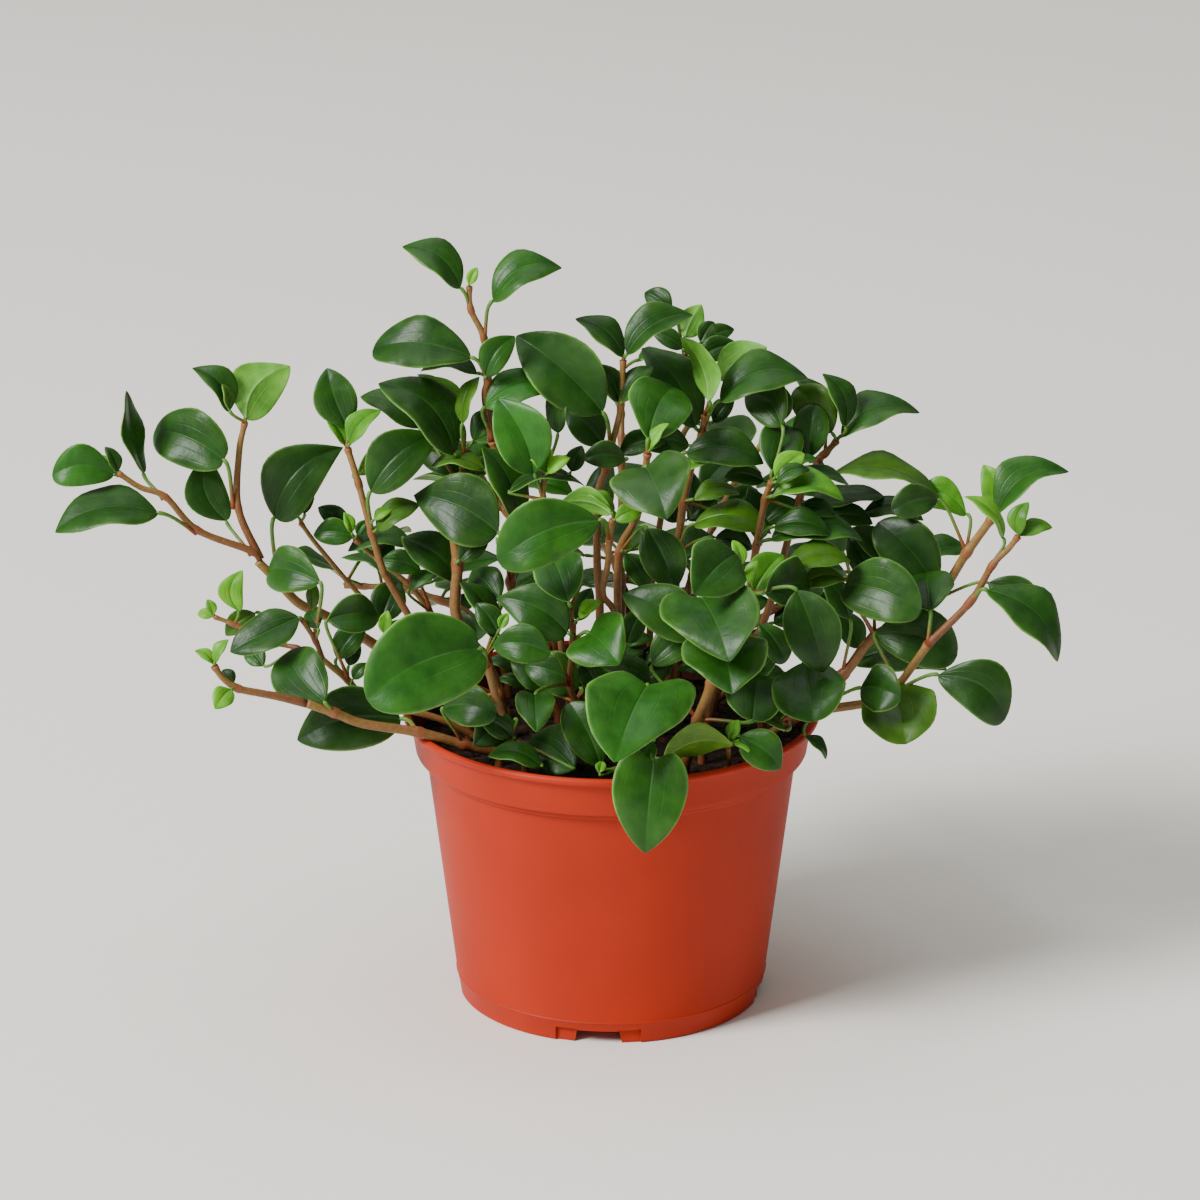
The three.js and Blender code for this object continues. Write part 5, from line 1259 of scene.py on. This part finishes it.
@dataclass(frozen=True)
class SeenLeaf:
    """A leaf as the viewer sees it, by its line of the layout.

    A blade seen short for its width leans to or from the viewer, and one seen slim is turned about its
    midrib, its upper side skywards.
    """

    joint: Sequence[float]
    label: str
    base: Sequence[float]
    tip: Sequence[float]
    width: float
    tone: str
    way: str = Held.PLAIN.value
    bow: float | None = None

    # Buds are smaller than this in square millimetres. A blade bows by a share of its run to the side, and
    # leans by a share of its length. A width over the widest share of its length as seen comes from a
    # stronger lean, and one under the slimmest from a turn.
    BUD_AREA = 56.0
    BOW = 0.11
    LEAN = 0.2
    MOST_LEAN = 0.9
    WIDEST = 0.68
    SLIMMEST = 0.55
    MOST_TURN = math.radians(68)
    MARGIN_ALLOWANCE = 1.06
    FLAT_DEG, FOLDED_DEG = 12, 30
    FLAT_ARCH, STRONG_ARCH = 0.07, 0.2
    LEVEL_SKEW = 0.8

    def blade(self, slide: float) -> Blade:
        """Turn the leaf into a real one.

        Args:
            slide: how far the blade is moved along the line of sight.

        Returns:
            The leaf in its real place.
        """
        held, base, tip = Held(self.way), self.base, self.tip
        run, climb = tip[0] - base[0], tip[1] - base[1]
        length = math.hypot(run, climb)
        lean, width, turn = self.LEAN * length, float(self.width), 0.0
        if width / length > self.WIDEST:
            hidden = math.sqrt((width / self.WIDEST) ** 2 - length**2)
            lean += min(hidden, self.MOST_LEAN * length)
        elif width / length < self.SLIMMEST:
            width = min(self.SLIMMEST * length, width / math.cos(self.MOST_TURN))
            turn = math.acos(self.width / width)
        start = sight((base[0], base[1], base[2] + slide))
        end = sight((tip[0], tip[1], base[2] + (lean if climb > 0 else -lean) + slide))
        along = (end - start).normalized()
        facing = (EYE - start).normalized()
        facing = (facing - along * facing.dot(along)).normalized()
        if held is Held.UNDER:
            facing.negate()
        turned = [Quaternion(along, angle) @ facing for angle in (turn, -turn)]
        bow = self.BOW * run if self.bow is None else self.bow
        return Blade(
            label=self.label,
            joint=sight(self.joint),
            base=start,
            tip=end,
            normal=max(turned, key=lambda side: side.z),
            width=width * self.MARGIN_ALLOWANCE,
            fold=math.radians(self.FOLDED_DEG if held is Held.FOLD else self.FLAT_DEG),
            arch=self.STRONG_ARCH if held is Held.ARCH else self.FLAT_ARCH,
            bow=Vector((-climb, 0.0, run)) * (bow / length),
            shape=OUTLINES.get(held, Outline.POINTED),
            tone=Tone(self.tone),
            skew=self.LEVEL_SKEW * run / climb if held is Held.LEVEL else 0.0,
            bud=self.width * length < self.BUD_AREA,
        )


# ---------- shoots ----------
@dataclass
class Shoot:
    """One leafy shoot with its stems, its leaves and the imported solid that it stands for."""

    name: str
    stems: list[Tube] = field(default_factory=list)
    leaves: list[Callable[[float], Blade]] = field(default_factory=list)
    slides: Sequence[float] = SLIDES

    PROBES = ((0.16, 0.0), (0.42, 0.0), (0.42, 0.7), (0.42, -0.7), (0.74, 0.0), (0.97, 0.0))

    @property
    def node(self) -> str:
        """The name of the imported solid."""
        return f"shoot_{self.name}"

    def solid(self) -> BVHTree:
        """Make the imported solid's surface ready for finding places on it.

        Returns:
            The surface, in metres.
        """
        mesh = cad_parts[self.node].data
        corners, faces = [v.co for v in mesh.vertices], [p.vertices for p in mesh.polygons]
        return BVHTree.FromPolygons(corners, faces)

    def miss(self, solid: BVHTree, blade: Blade) -> float:
        """Tell how far, in millimetres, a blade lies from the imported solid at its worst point."""
        return max(solid.find_nearest(blade.place(*probe) * MM)[3] / MM for probe in self.PROBES)

    def settled(self) -> list[Blade]:
        """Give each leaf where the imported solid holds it, and leave out one that it doesn't hold.

        Returns:
            The leaves in their real places. Buds are too small for the solid, and stay as laid out.
        """
        solid = self.solid()
        blades = []
        for leaf_at in self.leaves:
            blade = leaf_at(0.0)
            if not blade.bud:
                worst, slide = min((self.miss(solid, leaf_at(slide)), slide) for slide in self.slides)
                if worst > WORST_MISS:
                    LOG.info("%s %s has no place, miss %.1f mm", self.name, blade.label, worst)
                    continue
                blade = leaf_at(slide)
            blades.append(blade)
        return blades

    def build(
        self, bark: bpy.types.Material, upper: bpy.types.Material, lower: bpy.types.Material
    ) -> None:
        """Build the shoot as one piece.

        Args:
            bark: the rind of stems and petioles.
            upper: the skin of the upper sides.
            lower: the skin of the undersides.
        """
        mesh = Mesh(self.name, (bark, upper, lower))
        blades = self.settled()
        joints = [blade.joint for blade in blades]
        for stem in self.stems:
            swell_joints(stem, joints)
            stem.build(mesh, 0)
        for blade in blades:
            blade.petiole(mesh, 0)
            blade.build(mesh, 1, 2)
        mesh.finish(self.node)
        LOG.info("%s: %d leaves", self.name, len(blades))


def swell_joints(stem: Tube, joints: Sequence[Vector]) -> None:
    """Thicken and redden a stem to a ring where leaves spring from it.

    Args:
        stem: the stem.
        joints: the places of the shoot's joints.
    """
    red = linear(PETIOLE_RED)
    for i, place in enumerate(stem.line):
        near = min(((place - joint).length for joint in joints), default=math.inf)
        ring = 1 - smooth(*RING_REACH, near)
        stem.radii[i] *= 1 + RING_SWELLING * ring
        stem.tones[i] = blend(stem.tones[i], red, RING_REDNESS * ring)


def stem_tube(foot: Sequence[float] | None, first: float, last: float, points: list[Vector]) -> Tube:
    """Draw a stem through its points.

    Args:
        foot: where it stands in the soil, or None for a branch.
        first: its diameter at the foot.
        last: its diameter at the top.
        points: its points above the soil.

    Returns:
        The stem as a rod.
    """
    if foot:
        points = [Vector((*foot, FOOT_Z)), *points]
    length = sum((b - a).length for a, b in zip(points, points[1:]))
    line = bent_line(points, max(FEWEST_STEPS, int(length / STEM_STEP)))
    if foot:
        line = [Vector((*foot, z)) for z in ROOT_Z] + line
    count = len(line) - 1
    low, high = linear(STEM_BROWN), linear(STEM_GREEN)
    radii = [(first + (last - first) * i / count) / 2 for i in range(count + 1)]
    radii = [r * (1 + UNEVENNESS * noise.noise(p * UNEVEN_SCALE)) for r, p in zip(radii, line)]
    return Tube(line, radii, [blend(low, high, i / count) for i in range(count + 1)], STEM_SIDES)


def shoots_as_seen() -> list[Shoot]:
    """Work out the shoots that the layout lists.

    Returns:
        The shoots.
    """
    shoots = []
    for name, stems, joints in SHOOTS:
        shoot = Shoot(name)
        for foot, first, last, line in stems:
            shoot.stems.append(stem_tube(foot, first, last, [sight(p) for p in line]))
        for joint, *leaves in joints:
            shoot.leaves += [SeenLeaf(joint, *leaf).blade for leaf in leaves]
        shoots.append(shoot)
    return shoots


@dataclass(frozen=True)
class HiddenShoot:
    """A shoot of the far side: it rises from the soil and leans out, with leaves in a spiral."""

    name: str
    foot: tuple[float, float]
    top: tuple[float, float, float]
    rise: float

    # The stem: its diameters, how far it leans where it bends, how it sways and the steps of its line
    DIAMETERS = (3.4, 2.2)
    LEAN_AT_KNEE = 0.12
    SWAY = 6
    STEPS = 5

    # The leaves: how many, from which share of the stem up, how they turn round it and lean outwards, and
    # how much shorter they are at its top
    LEAVES = 9
    LEAFLESS = 0.3
    SPIRAL_DEG = 137.5
    OUTWARD = 0.35
    SHORTER_AT_TOP = 0.25
    TONES = (Tone.DARK, Tone.MID, Tone.BRIGHT)

    # The ranges from which each leaf's form is drawn
    TURN_DEG = (-18, 18)
    CLIMB = (0.1, 0.5)
    LENGTH = (24, 38)
    PETIOLE = (8, 14)
    DROOP = (-0.5, 0.15)
    ROLL = (-0.5, 0.5)
    WIDTH = (0.56, 0.7)
    FOLD_DEG = (6, 24)
    ARCH = (0.05, 0.14)

    def shoot(self, draw: Draw) -> Shoot:
        """Work out the stem and the leaves.

        Args:
            draw: the source of random numbers that all these shoots share.

        Returns:
            The shoot.
        """
        (x, y), end = self.foot, Vector(self.top)
        start = Vector((x, y, FOOT_Z))
        lean = self.LEAN_AT_KNEE
        knee = Vector((x + lean * (end.x - x), y + lean * (end.y - y), FOOT_Z + self.rise))
        middle = knee.lerp(end, 0.5) + UP * self.SWAY
        line = bent_line([start, knee, middle, end], self.STEPS)
        stem = stem_tube(self.foot, *self.DIAMETERS, [knee, middle, end])
        shoot = Shoot(self.name, [stem], slides=BACK_SLIDES)
        for i in range(self.LEAVES):
            share = self.LEAFLESS + (1 - self.LEAFLESS) * i / (self.LEAVES - 1)
            step = min(int(share * self.STEPS), self.STEPS - 1)
            joint = line[step].lerp(line[step + 1], share * self.STEPS - step)
            shoot.leaves.append(self.leaf(i, share, joint, draw).lifted)
        return shoot

    def leaf(self, i: int, share: float, joint: Vector, draw: Draw) -> Blade:
        """Draw one leaf.

        Args:
            i: its number.
            share: how far up the stem it is.
            joint: where it springs from the stem.
            draw: the source of random numbers.

        Returns:
            The leaf.
        """
        angle = math.radians(i * self.SPIRAL_DEG + draw(*self.TURN_DEG))
        outward = Vector((math.cos(angle), math.sin(angle), draw(*self.CLIMB)))
        outward.y += self.OUTWARD
        outward.normalize()
        length = draw(*self.LENGTH) * (1 - self.SHORTER_AT_TOP * share)
        base = joint + outward * draw(*self.PETIOLE)
        along = (outward + UP * draw(*self.DROOP)).normalized()
        normal = (UP - along * UP.dot(along)).normalized()
        return Blade(
            label=f"{self.name}_{i}",
            joint=joint,
            base=base,
            tip=base + along * length,
            normal=Quaternion(along, draw(*self.ROLL)) @ normal,
            width=length * draw(*self.WIDTH),
            fold=math.radians(draw(*self.FOLD_DEG)),
            arch=draw(*self.ARCH),
            bow=Vector(),
            shape=Outline.POINTED,
            tone=self.TONES[i % len(self.TONES)],
        )


def hidden_shoots() -> list[Shoot]:
    """Give the shoots of the far side."""
    draw = draws(SEED)
    return [HiddenShoot(*shoot).shoot(draw) for shoot in BACK_SHOOTS]


# ---------- pot and soil ----------
@dataclass
class NurseryPot:
    """The moulded pot: turned, with a rolled lip, a collar, a tapering wall and notches in its foot."""

    height: float = 113.6
    lip_radius: float = 79.2
    bead_radius: float = 1.5
    collar_foot: tuple[float, float] = (74.6, 98.0)
    collar_top: tuple[float, float] = (76.2, 109.0)
    ring_foot: tuple[float, float] = (71.9, 95.3)
    wall_top: tuple[float, float] = (70.4, 95.0)
    foot_radius: float = 58.7
    wall: float = 1.8
    floor_rise: float = 5.0
    disc_radius: float = 24.0
    floor_radius: float = 54.8
    seam_z: float = 8.5
    seam_height: float = 0.9
    seam_depth: float = 0.3
    notch_width: float = 15.6
    notch_flare: float = 1.3
    notch_height: float = 5.1
    pad_width: float = 8.4
    pad_height: float = 5.6
    pad_depth: float = 0.9
    pad_clearance: float = 0.15
    pad_flare: float = 0.2
    cutter_reach: tuple[float, float] = (-12, 6)
    lip_depth: float = 2
    notch_turn_deg: float = -5.0
    sides: int = 192
    sharpest_deg: float = 32

    def outer(self, z: float) -> float:
        """The wall's outer radius at a height below the collar."""
        return self.foot_radius + (self.wall_top[0] - self.foot_radius) * z / self.wall_top[1]

    def underside(self) -> list[tuple[float, float]]:
        """Draw the section from the axis out to the foot: a disc, the raised floor and the foot ring.

        Returns:
            Radius and height at each point.
        """
        disc, floor, foot, rise = self.disc_radius, self.floor_radius, self.foot_radius, self.floor_rise
        return [
            (0.0, 0.0), (disc - 0.6, 0.0), (disc, 0.3), (disc + 3.0, rise - 0.2), (disc + 3.6, rise),
            (floor - 2.4, rise), (floor - 1.8, rise - 0.2), (floor, 0.3), (floor + 0.6, 0.0),
            (foot - 0.6, 0.0), (foot - 0.1, 0.25), (foot, 0.8),
        ]

    def outside(self) -> list[tuple[float, float]]:
        """Draw the section from the foot up to the lip: the seam, the wall, the ring and the collar.

        Returns:
            Radius and height at each point.
        """
        seam = [
            (
                self.outer(self.seam_z + dz)
                + self.seam_depth * math.cos(math.pi * dz / self.seam_height) ** 2,
                self.seam_z + dz,
            )
            for dz in (-0.45, -0.3, -0.15, 0.0, 0.15, 0.3, 0.45)
        ]
        collar_x, collar_z = self.collar_foot
        top_x, top_z = self.collar_top
        ring_x, ring_z = self.ring_foot
        return seam + [(self.outer(z), z) for z in (40.0, 70.0, ring_z - 1.0, ring_z - 0.4)] + [
            (ring_x - 1.0, ring_z - 0.15), (ring_x - 0.2, ring_z), (ring_x, ring_z + 0.3),
            (ring_x + 0.1, collar_z - 1.1), (ring_x + 0.5, collar_z - 0.8),
            (collar_x - 1.0, collar_z - 0.5), (collar_x - 0.3, collar_z - 0.1),
            (collar_x, collar_z + 0.6), (collar_x + 0.2, collar_z + 2.0),
            (top_x, top_z), (top_x + 0.3, top_z + 0.9), (top_x + 0.8, top_z + 1.3),
        ]

    def bead(self) -> list[tuple[float, float]]:
        """Draw the section of the rolled lip, from below its outer edge to its inner side.

        Returns:
            Radius and height at each point.
        """
        bend = self.bead_radius
        x, z = self.lip_radius - bend, self.height - bend
        angles = (math.radians(degrees) for degrees in range(135, -46, -15))
        return [(x + bend * math.sin(angle), z + bend * math.cos(angle)) for angle in angles]

    def inside(self) -> list[tuple[float, float]]:
        """Draw the section from the lip down the inner wall and in to the axis.

        Returns:
            Radius and height at each point.
        """
        wall, disc, floor_z = self.wall, self.disc_radius, self.floor_rise + self.wall
        return [
            (self.lip_radius - 3.0, self.height - 1.0),
            (self.collar_top[0] - wall, self.collar_top[1]),
            (self.collar_foot[0] - wall, self.collar_foot[1] + 1),
            (self.ring_foot[0] - wall - 0.4, self.ring_foot[1] - 1.0),
            (self.outer(9) - wall, floor_z + 1.8), (self.outer(7) - wall - 1.2, floor_z + 0.1),
            (disc + 5.0, floor_z), (disc + 2.0, floor_z - 0.2),
            (disc - 1.0, wall + 0.4), (disc - 2.0, wall), (0.0, wall),
        ]

    def shell(self) -> bmesh.types.BMesh:
        """Turn the section about the pot's axis.

        Returns:
            The closed shell.
        """
        shell = bmesh.new()
        rings = []
        for radius, z in self.underside() + self.outside() + self.bead() + self.inside():
            count = self.sides if radius else 1
            turns = (2 * math.pi * k / self.sides for k in range(count))
            x = radius * MM
            rings.append([shell.verts.new((x * math.cos(a), x * math.sin(a), z * MM)) for a in turns])
        for near, far in zip(rings, rings[1:]):
            for k in range(self.sides):
                after = (k + 1) % self.sides
                turns = ((near, k), (near, after), (far, after), (far, k))
                corners = dict.fromkeys(ring[turn % len(ring)] for ring, turn in turns)
                shell.faces.new(list(corners))
        bmesh.ops.recalc_face_normals(shell, faces=shell.faces)
        return shell

    def build(self, plastic: bpy.types.Material, painted_shade_plastic: bpy.types.Material) -> None:
        """Turn the shell, cut the drain notches and make the piece.

        Args:
            plastic: the finish of the shell.
            painted_shade_plastic: painted shade, the same plastic much darker, for the inner wall above the
                soil.
        """
        pot = as_object(self.shell(), "nursery_pot")
        cutter = as_object(self.cuts(), "notch_cutter")
        cut = pot.modifiers.new("notches", "BOOLEAN")
        cut.operation, cut.solver, cut.object, cut.use_self = "DIFFERENCE", "EXACT", cutter, True
        apply_modifiers(pot)
        bpy.data.objects.remove(cutter)
        pot.data.materials.append(plastic)
        pot.data.materials.append(painted_shade_plastic)
        # Faces of the inner wall, above the soil and below the lip, take the painted shade: the plastic
        # darkened where the inside of the pot lies in shade.
        for face in pot.data.polygons:
            middle = face.center
            outward = face.normal.x * middle.x + face.normal.y * middle.y
            under_lip = middle.z < (self.height - self.lip_depth) * MM
            if outward < 0 and middle.length > self.wall_top[0] * MM and under_lip:
                face.material_index = 1
        shade_by_angle(pot, self.sharpest_deg)
        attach(pot, "root")
        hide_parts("pot")
        LOG.info("nursery_pot: %d faces", len(pot.data.polygons))

    def cuts(self) -> bmesh.types.BMesh:
        """Give the wedges that cut the drain notches and press in a pad on each side of them.

        Returns:
            The wedges as one mesh.
        """
        wedges = bmesh.new()
        foot, half_notch, half_pad = self.foot_radius, self.notch_width / 2, self.pad_width / 2
        inner, outer = (foot + reach for reach in self.cutter_reach)
        notch = ((inner, outer), half_notch, half_notch + self.notch_flare, self.notch_height)
        inner = foot - self.pad_depth - self.pad_clearance
        pad = ((inner, outer), half_pad, half_pad + self.pad_flare, self.pad_height)
        apart = (self.notch_width + self.pad_width) / 2 / foot
        for quarter in range(4):
            turn = math.radians(self.notch_turn_deg - 90 + 90 * quarter)
            add_wedge(wedges, *notch, turn)
            for hand in (-1, 1):
                add_wedge(wedges, *pad, turn + hand * apart)
        bmesh.ops.recalc_face_normals(wedges, faces=wedges.faces)
        return wedges


def add_wedge(
    mesh: bmesh.types.BMesh,
    reach: tuple[float, float],
    top: float,
    foot: float,
    height: float,
    turn: float,
) -> None:
    """Add a block that stands under the pot's wall, turned about the pot's axis.

    Args:
        mesh: the mesh that gets the block.
        reach: its distances from the axis, in and out.
        top: half its width at its top.
        foot: half its width at the table.
        height: how high it reaches.
        turn: the angle about the axis.
    """
    spin = Quaternion(UP, turn)
    corners = []
    for z, half in ((BELOW_FOOT, foot), (height, top)):
        for x, y in ((reach[0], -half), (reach[1], -half), (reach[1], half), (reach[0], half)):
            corners.append(mesh.verts.new(spin @ (Vector((x, y, z)) * MM)))
    for face in BLOCK_FACES:
        mesh.faces.new([corners[i] for i in face])


def apply_modifiers(piece: bpy.types.Object) -> None:
    """Turn a piece's modifiers into its mesh.

    Args:
        piece: the piece.
    """
    graph = bpy.context.evaluated_depsgraph_get()
    data = bpy.data.meshes.new_from_object(piece.evaluated_get(graph))
    piece.modifiers.clear()
    piece.data = data


def shade_by_angle(piece: bpy.types.Object, degrees: float) -> None:
    """Shade a piece smooth, except over sharp edges.

    Args:
        piece: the piece.
        degrees: the angle over which an edge is sharp.
    """
    mesh = bmesh.new()
    mesh.from_mesh(piece.data)
    for face in mesh.faces:
        face.smooth = True
    for edge in mesh.edges:
        if len(edge.link_faces) == 2:
            edge.smooth = edge.calc_face_angle(0.0) < math.radians(degrees)
    mesh.to_mesh(piece.data)
    mesh.free()


@dataclass
class PottingMix:
    """The soil: a crumbly mound with loose bark bits on it."""

    radius: float = 72.9
    level: float = 103.4
    dome: float = 2.0
    root_radius: float = 66.6
    root_z: float = 92.0
    rings: int = 46
    spokes: int = 150
    crumbs: int = 520
    crumbs_radius: float = 72

    # Coarse and fine lumps: the layer of the noise, its scale, its octaves and the height in millimetres,
    # and how each octave fades and gets finer
    LUMPS = ((0.0, 0.06, 4, 0.9), (7.0, 0.35, 3, 0.45))
    FADE, FINER = 0.8, 2.0

    # The ranges from which a crumb's length, width and height, its tilt and its worn corners are drawn
    CRUMB_SIZE = ((0.7, 2.6), (0.6, 1.7), (0.35, 0.9))
    CRUMB_TILT = (-0.5, 0.5)
    CRUMB_WEAR = (0.6, 1.0)

    def height(self, x: float, y: float) -> float:
        """Work out the height of the surface at a place.

        Args:
            x: the place to the right of the axis.
            y: the place behind it.

        Returns:
            The height in millimetres.
        """
        z = self.level - self.dome * (math.hypot(x, y) / self.radius) ** 2
        for layer, scale, octaves, lift in self.LUMPS:
            z += lift * noise.fractal(Vector((x, y, layer)) * scale, self.FADE, self.FINER, octaves)
        return z

    def build(self, soil: bpy.types.Material) -> None:
        """Build the mound and the loose bits as one piece.

        Args:
            soil: the finish of both.
        """
        mesh = Mesh("potting_mix", (soil,))
        dark = linear(SOIL_BROWN)
        turns = [2 * math.pi * k / self.spokes for k in range(self.spokes)]
        grid: list[list[int]] = []
        for i in range(self.rings + 1):
            radius = self.radius * i / self.rings
            count = self.spokes if i else 1
            places = [(radius * math.cos(turn), radius * math.sin(turn)) for turn in turns[:count]]
            ring = [mesh.point(Vector((x, y, self.height(x, y))), dark) for x, y in places]
            grid.append(ring * (self.spokes // count))
        inner = self.root_radius
        places = [Vector((inner * math.cos(turn), inner * math.sin(turn), self.root_z)) for turn in turns]
        grid.append([mesh.point(place, dark) for place in places])
        for near, far in zip(grid, grid[1:]):
            for k in range(self.spokes):
                after = (k + 1) % self.spokes
                mesh.face(dict.fromkeys((near[k], far[k], far[after], near[after])))
        mesh.face(reversed(grid[-1]))
        draw = draws(SEED + 5)
        for _ in range(self.crumbs):
            turn, out = draw(0, 2 * math.pi), self.crumbs_radius * math.sqrt(draw(0, 1))
            x, y = out * math.cos(turn), out * math.sin(turn)
            self.crumb(mesh, Vector((x, y, self.height(x, y))), draw, dark)
        mesh.finish("soil")
        LOG.info("potting_mix: %d crumbs", self.crumbs)

    def crumb(self, mesh: Mesh, place: Vector, draw: Draw, tone: Colour) -> None:
        """Add one bark bit: a small uneven eight-cornered chip.

        Args:
            mesh: the piece that gets the bit.
            place: where it lies, in millimetres.
            draw: the source of random numbers.
            tone: its linear colour.
        """
        size = Vector([draw(*span) for span in self.CRUMB_SIZE])
        turn = Quaternion(UP, draw(0, math.pi))
        turn = turn @ Quaternion(Vector((1.0, 0.0, 0.0)), draw(*self.CRUMB_TILT))
        corners = []
        for z in (-1, 1):
            for x, y in ((-1, -1), (1, -1), (1, 1), (-1, 1)):
                corner = Vector((x * size.x, y * size.y, z * size.z)) * draw(*self.CRUMB_WEAR)
                corners.append(mesh.point(place + turn @ corner, tone))
        for face in BLOCK_FACES:
            mesh.face(corners[i] for i in face)


# ---------- studio ----------
@dataclass(frozen=True)
class SoftLamp:
    """A soft square lamp that faces the plant, in metres and watts."""

    name: str
    place: tuple[float, float, float]
    size: float
    watts: float

    AIM = (0.0, 0.0, 0.15)

    def build(self) -> None:
        """Put the lamp in the scene."""
        light = bpy.data.lights.new(self.name, "AREA")
        light.size, light.energy = self.size, self.watts
        lamp = in_scene(self.name, light)
        lamp.location = self.place
        way = Vector(self.AIM) - Vector(self.place)
        lamp.rotation_euler = way.to_track_quat("-Z", "Y").to_euler()


@dataclass
class Studio:
    """The plain pale floor, the soft lights and the camera."""

    floor_size: float = 6.0
    floor_z: float = -0.0002
    room_colour: str = "#E6E4E2"
    room_light: float = 0.34
    lamps: tuple[SoftLamp, ...] = (
        SoftLamp("key", (-4.0, -2.5, 3.9), 2.2, 640.0),
        SoftLamp("fill", (1.5, -1.4, 0.9), 1.6, 0.8),
        SoftLamp("top", (-0.1, 0.4, 3.5), 3.0, 56.0),
    )
    camera_tilt_deg: float = 71.32
    lens_mm: float = 135.9
    film_mm: float = 36.0
    far_end: float = 50.0

    def build(self) -> None:
        """Build the floor, light it and set up the camera."""
        sheet = bmesh.new()
        bmesh.ops.create_grid(sheet, x_segments=1, y_segments=1, size=self.floor_size)
        floor = as_object(sheet, "studio_floor")
        floor.data.materials.append(StudioPaper().build())
        floor.location.z = self.floor_z
        room = bpy.data.worlds.new("studio_world")
        room.use_nodes = True
        glow = room.node_tree.nodes["Background"].inputs
        glow["Color"].default_value = linear(self.room_colour)
        glow["Strength"].default_value = self.room_light
        bpy.context.scene.world = room
        for lamp in self.lamps:
            lamp.build()
        camera = in_scene("camera", bpy.data.cameras.new("camera"))
        camera.data.sensor_width = self.film_mm
        camera.data.lens = self.lens_mm
        camera.data.clip_end = self.far_end
        camera.location = [round(part * MM, 4) for part in EYE]
        camera.rotation_euler = (math.radians(self.camera_tilt_deg), 0.0, 0.0)
        bpy.context.scene.camera = camera


def main() -> None:
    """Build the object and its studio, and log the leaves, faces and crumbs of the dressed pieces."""
    logging.basicConfig(level=logging.INFO, format="%(message)s")
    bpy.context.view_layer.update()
    bark = StemBark().build()
    upper = LeafSkin(
        "leaf_upper_cuticle", roughness=0.38, coat=0.0, vein_colour="#4E7C2C", vein_share=0.16, groove=0.7
    ).build()
    lower = LeafSkin(
        "leaf_lower_cuticle", roughness=0.5, coat=0.05, vein_colour="#A6C67E", vein_share=0.4, groove=-0.9
    ).build()
    Studio().build()
    # Painted shade for the pot's inner wall: the plastic in much darker colours.
    painted_shade_plastic = MouldedPolypropylene("painted_shade_polypropylene", colour="#5E1E0C", shade="#3A160A")
    NurseryPot().build(MouldedPolypropylene().build(), painted_shade_plastic.build())
    PottingMix().build(PottingSoil().build())
    for shoot in [*shoots_as_seen(), *hidden_shoots()]:
        shoot.build(bark, upper, lower)


if __name__ == "__main__":
    main()
